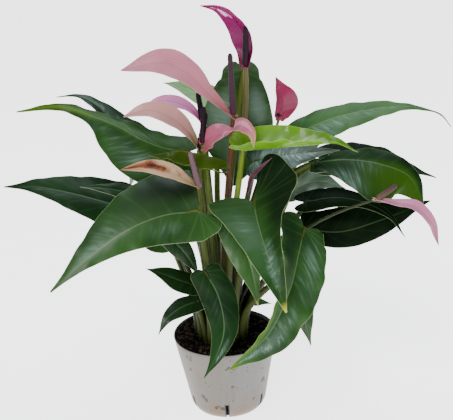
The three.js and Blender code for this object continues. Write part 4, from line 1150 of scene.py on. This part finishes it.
# Colours of the plastic. left and right are painted light and shade on the two halves, shade is
# painted shade round the top of the wall, and the slot colour is painted shade in and round the
# slots; the rest are the pot's own drips, rust, specks, stains, blots and marks.
plasticLook = {
    "left": (0.128, 0.108, 0.088), "right": (0.142, 0.134, 0.122), "drip": (0.1, 0.082, 0.064),
    "rust": (0.2, 0.1, 0.035), "shade": (0.09, 0.07, 0.05), "speck": (0.03, 0.02, 0.015),
    "stain": (0.17, 0.075, 0.022), "blot": (0.028, 0.019, 0.012), "mark": (0.014, 0.008, 0.004),
    "paintedSlotShade": (0.012, 0.009, 0.006),
}
stainPlace = (-0.016, -0.044, 0.012)
slotShadeRadius = 0.047
# Dark marks on the wall: the turn from the front in degrees, the height and the size in
# millimetres, and how strong each is
potMarks = [(-50, 82, 2.0, 0.8), (-45, 79, 1.8, 0.8), (-43, 84, 1.5, 0.6), (-49, 64, 2.0, 0.9),
            (-1, 73, 1.5, 0.7), (3, 74.5, 1.9, 0.85), (7, 74, 1.9, 0.85), (11, 75, 1.6, 0.7),
            (6, 47, 1.4, 0.7), (53, 43, 2.4, 0.9), (57, 40, 1.6, 0.8), (49, 60, 1.4, 0.6),
            (-37, 29, 2.2, 0.8), (-33, 25, 1.8, 0.8), (-19, 16, 1.7, 0.9), (-9, 15, 1.8, 0.9),
            (-14, 18, 1.2, 0.7), (24, 66, 1.2, 0.5), (38, 22, 1.6, 0.6), (-28, 52, 1.3, 0.5),
            (110, 60, 2.0, 0.8), (150, 30, 2.2, 0.8), (200, 70, 2.0, 0.8), (230, 22, 2.4, 0.8)]


# The radius and height part of the way up a wall.
def upWall(wall, share):
    return [foot + (top - foot) * share for foot, top in zip(*wall)]


# Extrudes the selected ring through the given radii and heights.
def drawRings(radius, height, rings):
    for nextRadius, nextHeight in rings:
        rise = (0, 0, (nextHeight - height) * mm)
        bpy.ops.mesh.extrude_region_move(TRANSFORM_OT_translate={"value": rise})
        scale = nextRadius / radius
        bpy.ops.transform.resize(value=(scale, scale, 1))
        radius, height = nextRadius, nextHeight


bpy.ops.mesh.primitive_circle_add(vertices=potLook["sides"], radius=potLook["foot"] * mm,
                                  fill_type="NGON")
pot = bpy.context.object
pot.name = "pot"
startEdit()
drawRings(potLook["foot"], 0, heelRings
          + [upWall(outerWall, i / wallSteps) for i in range(wallSteps + 1)] + rimRings
          + [upWall(innerWall, i / wallSteps) for i in reversed(range(wallSteps))] + floorRings)
endEdit()

bpy.ops.mesh.primitive_cube_add(size=1, location=(0, (2 - potLook["heel"]) * mm,
                                                  (potLook["slotHeight"] - 1) / 2 * mm))
cutter = bpy.context.object
cutter.scale = times((potLook["slotWidth"], potLook["slotReach"], potLook["slotHeight"] + 1), mm)
bpy.ops.object.transform_apply(location=True, rotation=False, scale=True)
choose([pot])
for i in range(potLook["slots"]):
    cutter.rotation_euler.z = tau * i / potLook["slots"] + radians(potLook["slotTurn"])
    slot = pot.modifiers.new("slot", "BOOLEAN")
    slot.object = cutter
    slot.operation = "DIFFERENCE"
    slot.solver = "EXACT"
    bpy.ops.object.modifier_apply(modifier=slot.name)
bpy.data.objects.remove(cutter)
bpy.ops.object.shade_smooth_by_angle(angle=radians(potLook["sharp"]))

plastic = Shader("paleNurseryPlastic")
stains = plastic.speckle(16, 5, roughness=0.65)
drips = plastic.speckle(70, 4, stretch=(1, 1, 0.12), roughness=0.6)
specks = plastic.speckle(330)
grain = plastic.speckle(1500)
ragged = plastic.speckle(260, 4, roughness=0.7)
blots = plastic.speckle(85, 5, stretch=(0.7, 0.7, 1.6), roughness=0.7)
place = plastic.objectPlace()
aside, _, rise = plastic.split(place)
nearStain = plastic.distance(place, stainPlace) + (stains - 0.5) * 0.016
# Washes over the plastic: the right half painted cooler and lighter than the left as painted light
# and shade, and a painted shade band below the rim.
washes = [
    ((aside + (stains - 0.5) * 0.02).between(-0.012, 0.004), "right"),
    (drips.between(0.5, 0.72) * 0.45, "drip"),
    (stains.between(0.52, 0.7) * rise.between(0.05, 0.0) * 0.7, "rust"),
    (rise.between(0.072, 0.091) * stains.between(0.4, 0.65) * 0.5, "shade"),
    (specks.between(0.67, 0.71), "speck"),
    (nearStain.between(0.013, 0.003) * 0.65, "stain"),
    (blots.between(0.655, 0.69) * 0.9, "blot"),
]
wallFoot, wallTop = outerWall[0][1], outerWall[1][1]
for turnOf, high, size, strength in potMarks:
    angle = radians(turnOf - 90)
    wall = upWall(outerWall, (high - wallFoot) / (wallTop - wallFoot))[0]
    near = plastic.distance(place, times((cos(angle) * wall, sin(angle) * wall, high), mm))
    near = near + (ragged - 0.5) * 0.006
    washes.append((near.between(size * 1.6 * mm, size * 1.1 * mm) * strength, "mark"))
# Painted shade in and round each slot, darkest at the slot: its angle off the nearest slot, times
# the wall's radius there in metres
turned = plastic.add("ShaderNodeVectorRotate", {"rotation_type": "Z_AXIS"},
                     {"Vector": place, "Angle": -radians(potLook["slotTurn"])})
turnX, turnY, _ = plastic.split(turned)
sector = turnX.maths("ARCTAN2", turnY * -1) / (tau / potLook["slots"])
offSlot = (sector - sector.maths("ROUND")).maths("ABSOLUTE") * (tau / potLook["slots"])
paintedSlotShade = (offSlot * slotShadeRadius + (stains - 0.5) * 0.002).between(0.0036, 0.0022)
washes.append((paintedSlotShade * (rise + (stains - 0.5) * 0.004).between(0.0225, 0.0195), "paintedSlotShade"))
colour = plastic.layers(plasticLook["left"],
                        *((share, plasticLook[tint]) for share, tint in washes))
pot.data.materials.clear()
pot.data.materials.append(plastic.finish(colour, 0.48 + (stains - 0.5) * 0.25,
                                         grain * 0.00004 + drips * 0.0001))
settle([pot], ["pot"])
print("pot made")


# Soil

soilLook = {"floor": 1.75, "floorRadius": 37, "edge": 57.9, "edgeHeight": 88, "highest": 97,
            "lump": 1.8, "rough": 1.4, "heap": 3.2, "heapTurn": 205, "around": 120, "rings": 44,
            "crumbs": 760, "crumbSizes": (0.8, 3.0), "crumbReach": 56.5,
            "fibres": 220, "fibreSizes": (0.5, 1.25), "fibreReach": 54.0}
leftHeap = [(-46, -20, 7), (-40, -34, 6), (-50, 0, 6)]  # places and spreads of the crumbs there
crumbLook = {"rough": 0.42, "flat": 0.75}
strandLook = {"radius": 0.22, "length": 9, "step": 1.6, "rise": 0.9, "bow": 0.05, "sway": 0.8}
crumbTints = [(0.0015, 0.0015, 0.001), (0.004, 0.003, 0.0025), (0.035, 0.022, 0.013)]
fibreTints = [(0.05, 0.032, 0.018), (0.2, 0.15, 0.09)]


# The height of the soil at a place, in lumps and higher on the left.
def soilHeight(x, y):
    radius, angle = (x * x + y * y) ** 0.5, np.arctan2(y, x)
    lumps = sin(radius * 0.34 + 3 * sin(2 * angle)) * cos(5 * angle + radius * 0.21)
    heap = radius / potLook["rim"] * cos(angle - radians(soilLook["heapTurn"]))
    rough = noise.fractal(Vector((x, y, 3)) * 0.16, 0.7, 2.2, 4)
    return (soilTop + 1 + soilLook["lump"] * lumps + soilLook["heap"] * heap
            + soilLook["rough"] * rough)


bpy.ops.mesh.primitive_circle_add(vertices=soilLook["around"], radius=soilLook["floorRadius"] * mm,
                                  fill_type="NGON", location=(0, 0, soilLook["floor"] * mm))
soil = bpy.context.object
soil.name = "soil"
bpy.ops.object.transform_apply(location=True, rotation=False, scale=False)
startEdit()
rings = [(42.6, 10), (50, 48), (soilLook["edge"] - 0.4, soilLook["edgeHeight"] - 2),
         (soilLook["edge"], soilLook["edgeHeight"])]
for i in range(1, soilLook["rings"] + 1):
    share = 1 - i / (soilLook["rings"] + 1)
    rings.append((soilLook["edge"] * share, soilLook["edgeHeight"] + 3))
drawRings(soilLook["floorRadius"], soilLook["floor"], rings)
bpy.ops.mesh.merge(type="CENTER")
endEdit()
for vertex in soil.data.vertices:
    if vertex.co.z > (soilLook["edgeHeight"] + 1) * mm:
        vertex.co.z = min(soilHeight(vertex.co.x / mm, vertex.co.y / mm), soilLook["highest"]) * mm
bpy.ops.object.shade_smooth()

earth = Shader("darkPeat")
clods = earth.speckle(110, 5, roughness=0.7)
bits = earth.speckle(420, 4, roughness=0.7)
straw = earth.speckle(300, stretch=(0.25, 1, 1))
colour = earth.layers((0.0006, 0.0006, 0.0006), (clods.between(0.35, 0.65), (0.004, 0.003, 0.002)),
                      (bits.between(0.62, 0.7) * 0.6, (0.045, 0.028, 0.016)),
                      (straw.between(0.68, 0.73) * 0.7, (0.16, 0.115, 0.065)))
soil.data.materials.append(earth.finish(colour, 0.85 + (bits - 0.5) * 0.2,
                                        clods * 0.0012 + bits * 0.0005, Specular_IOR_Level=0.08))
settle([soil], ["soil"])


# A skin for bits of peat: how fine its speckles are, its brightest share of the tint, its
# roughness and the height of its bumps.
def peatSkin(name, tint, scale, detail, bright, roughness, bump, **constants):
    skin = Shader(name)
    bits = skin.speckle(scale, detail)
    colour = skin.mix(bits.between(0.3, 0.7), times(tint, 0.6), times(tint, bright))
    return skin.finish(colour, roughness + (bits - 0.5) * 0.2, bits * bump, **constants)


crumbSkins = [peatSkin("peatCrumb" + str(i), tint, 900, 3, 1.5, 0.85, 0.0006,
                       Specular_IOR_Level=0.1) for i, tint in enumerate(crumbTints)]
fibreSkins = [peatSkin("peatFibre" + str(i), tint, 800, 2, 1, 0.7, 0.0003)
              for i, tint in enumerate(fibreTints)]


# A rough crumb or a bent strand, to be copied.
def makeCrumb(i):
    bpy.ops.mesh.primitive_ico_sphere_add(subdivisions=2, radius=mm)
    crumb = bpy.context.object
    for vertex in crumb.data.vertices:
        rough = noise.noise(vertex.co / mm * 1.1 + Vector((i * 9.1, 2, 5)))
        vertex.co *= 1 + crumbLook["rough"] * rough
        vertex.co.z *= crumbLook["flat"]
    crumb.data.materials.append(crumbSkins[i % len(crumbSkins)])
    return crumb


def makeStrand(i):
    look = strandLook
    bpy.ops.mesh.primitive_cylinder_add(vertices=5, radius=look["radius"] * mm,
                                        depth=look["length"] * mm)
    strand = bpy.context.object
    startEdit()
    bpy.ops.transform.rotate(value=pi / 2, orient_axis="Y", center_override=(0, 0, 0))
    for k in range(-2, 3):
        bpy.ops.mesh.bisect(plane_co=(k * look["step"] * mm, 0, 0), plane_no=(1, 0, 0))
        bpy.ops.mesh.select_all(action="SELECT")
    bpy.ops.object.mode_set(mode="OBJECT")
    for vertex in strand.data.vertices:
        x = vertex.co.x / mm
        vertex.co.z += (look["rise"] * sin(x * 0.55 + i) - look["bow"] * x * x) * mm
        vertex.co.y += look["sway"] * sin(x * 0.45 + 2.3 * i) * mm
    strand.data.materials.append(fibreSkins[i % len(fibreSkins)])
    return strand


# Copies scattered over the soil within a reach from its middle, half of them at the spots where
# those are given, joined into one piece.
def scatter(name, kinds, count, sizes, inside, spots=None):
    copies = []
    for i in range(count):
        kind = kinds[random.randrange(len(kinds))]
        copy = copyOf(kind)
        if spots and random.random() < 0.5:
            spotX, spotY, spread = random.choice(spots)
            x, y = random.gauss(spotX, spread), random.gauss(spotY, spread)
        else:
            radius, angle = inside * random.random() ** 0.5, random.uniform(0, tau)
            x, y = radius * cos(angle), radius * sin(angle)
        far = (x * x + y * y) ** 0.5
        if far > inside:
            x, y = x * inside / far, y * inside / far
        size = random.uniform(*sizes) * (0.6 if far > inside - 2 else 1)
        z = soilHeight(x, y) + size * random.uniform(-0.1, 0.55)
        copy.location = Vector((x, y, z)) * mm
        copy.rotation_euler = (random.uniform(-0.5, 0.5), random.uniform(-0.5, 0.5),
                               random.uniform(0, tau))
        copy.scale = (size, size * random.uniform(0.7, 1.2), size * random.uniform(0.6, 1))
        copies.append(copy)
    choose(copies)
    bpy.ops.object.transform_apply(location=True, rotation=True, scale=True)
    bpy.ops.object.join()
    piece = bpy.context.view_layer.objects.active
    piece.name = name
    bpy.ops.object.shade_smooth()
    for kind in kinds:
        bpy.data.objects.remove(kind)
    return settle([piece], [])


scatter("soil_crumbs", [makeCrumb(i) for i in range(6)], soilLook["crumbs"],
        soilLook["crumbSizes"], soilLook["crumbReach"], leftHeap)
scatter("soil_fibres", [makeStrand(i) for i in range(4)], soilLook["fibres"],
        soilLook["fibreSizes"], soilLook["fibreReach"])
print("soil filled")


# Size

low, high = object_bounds()
print("visual box:", [round(v, 4) for v in (*low, *high)])
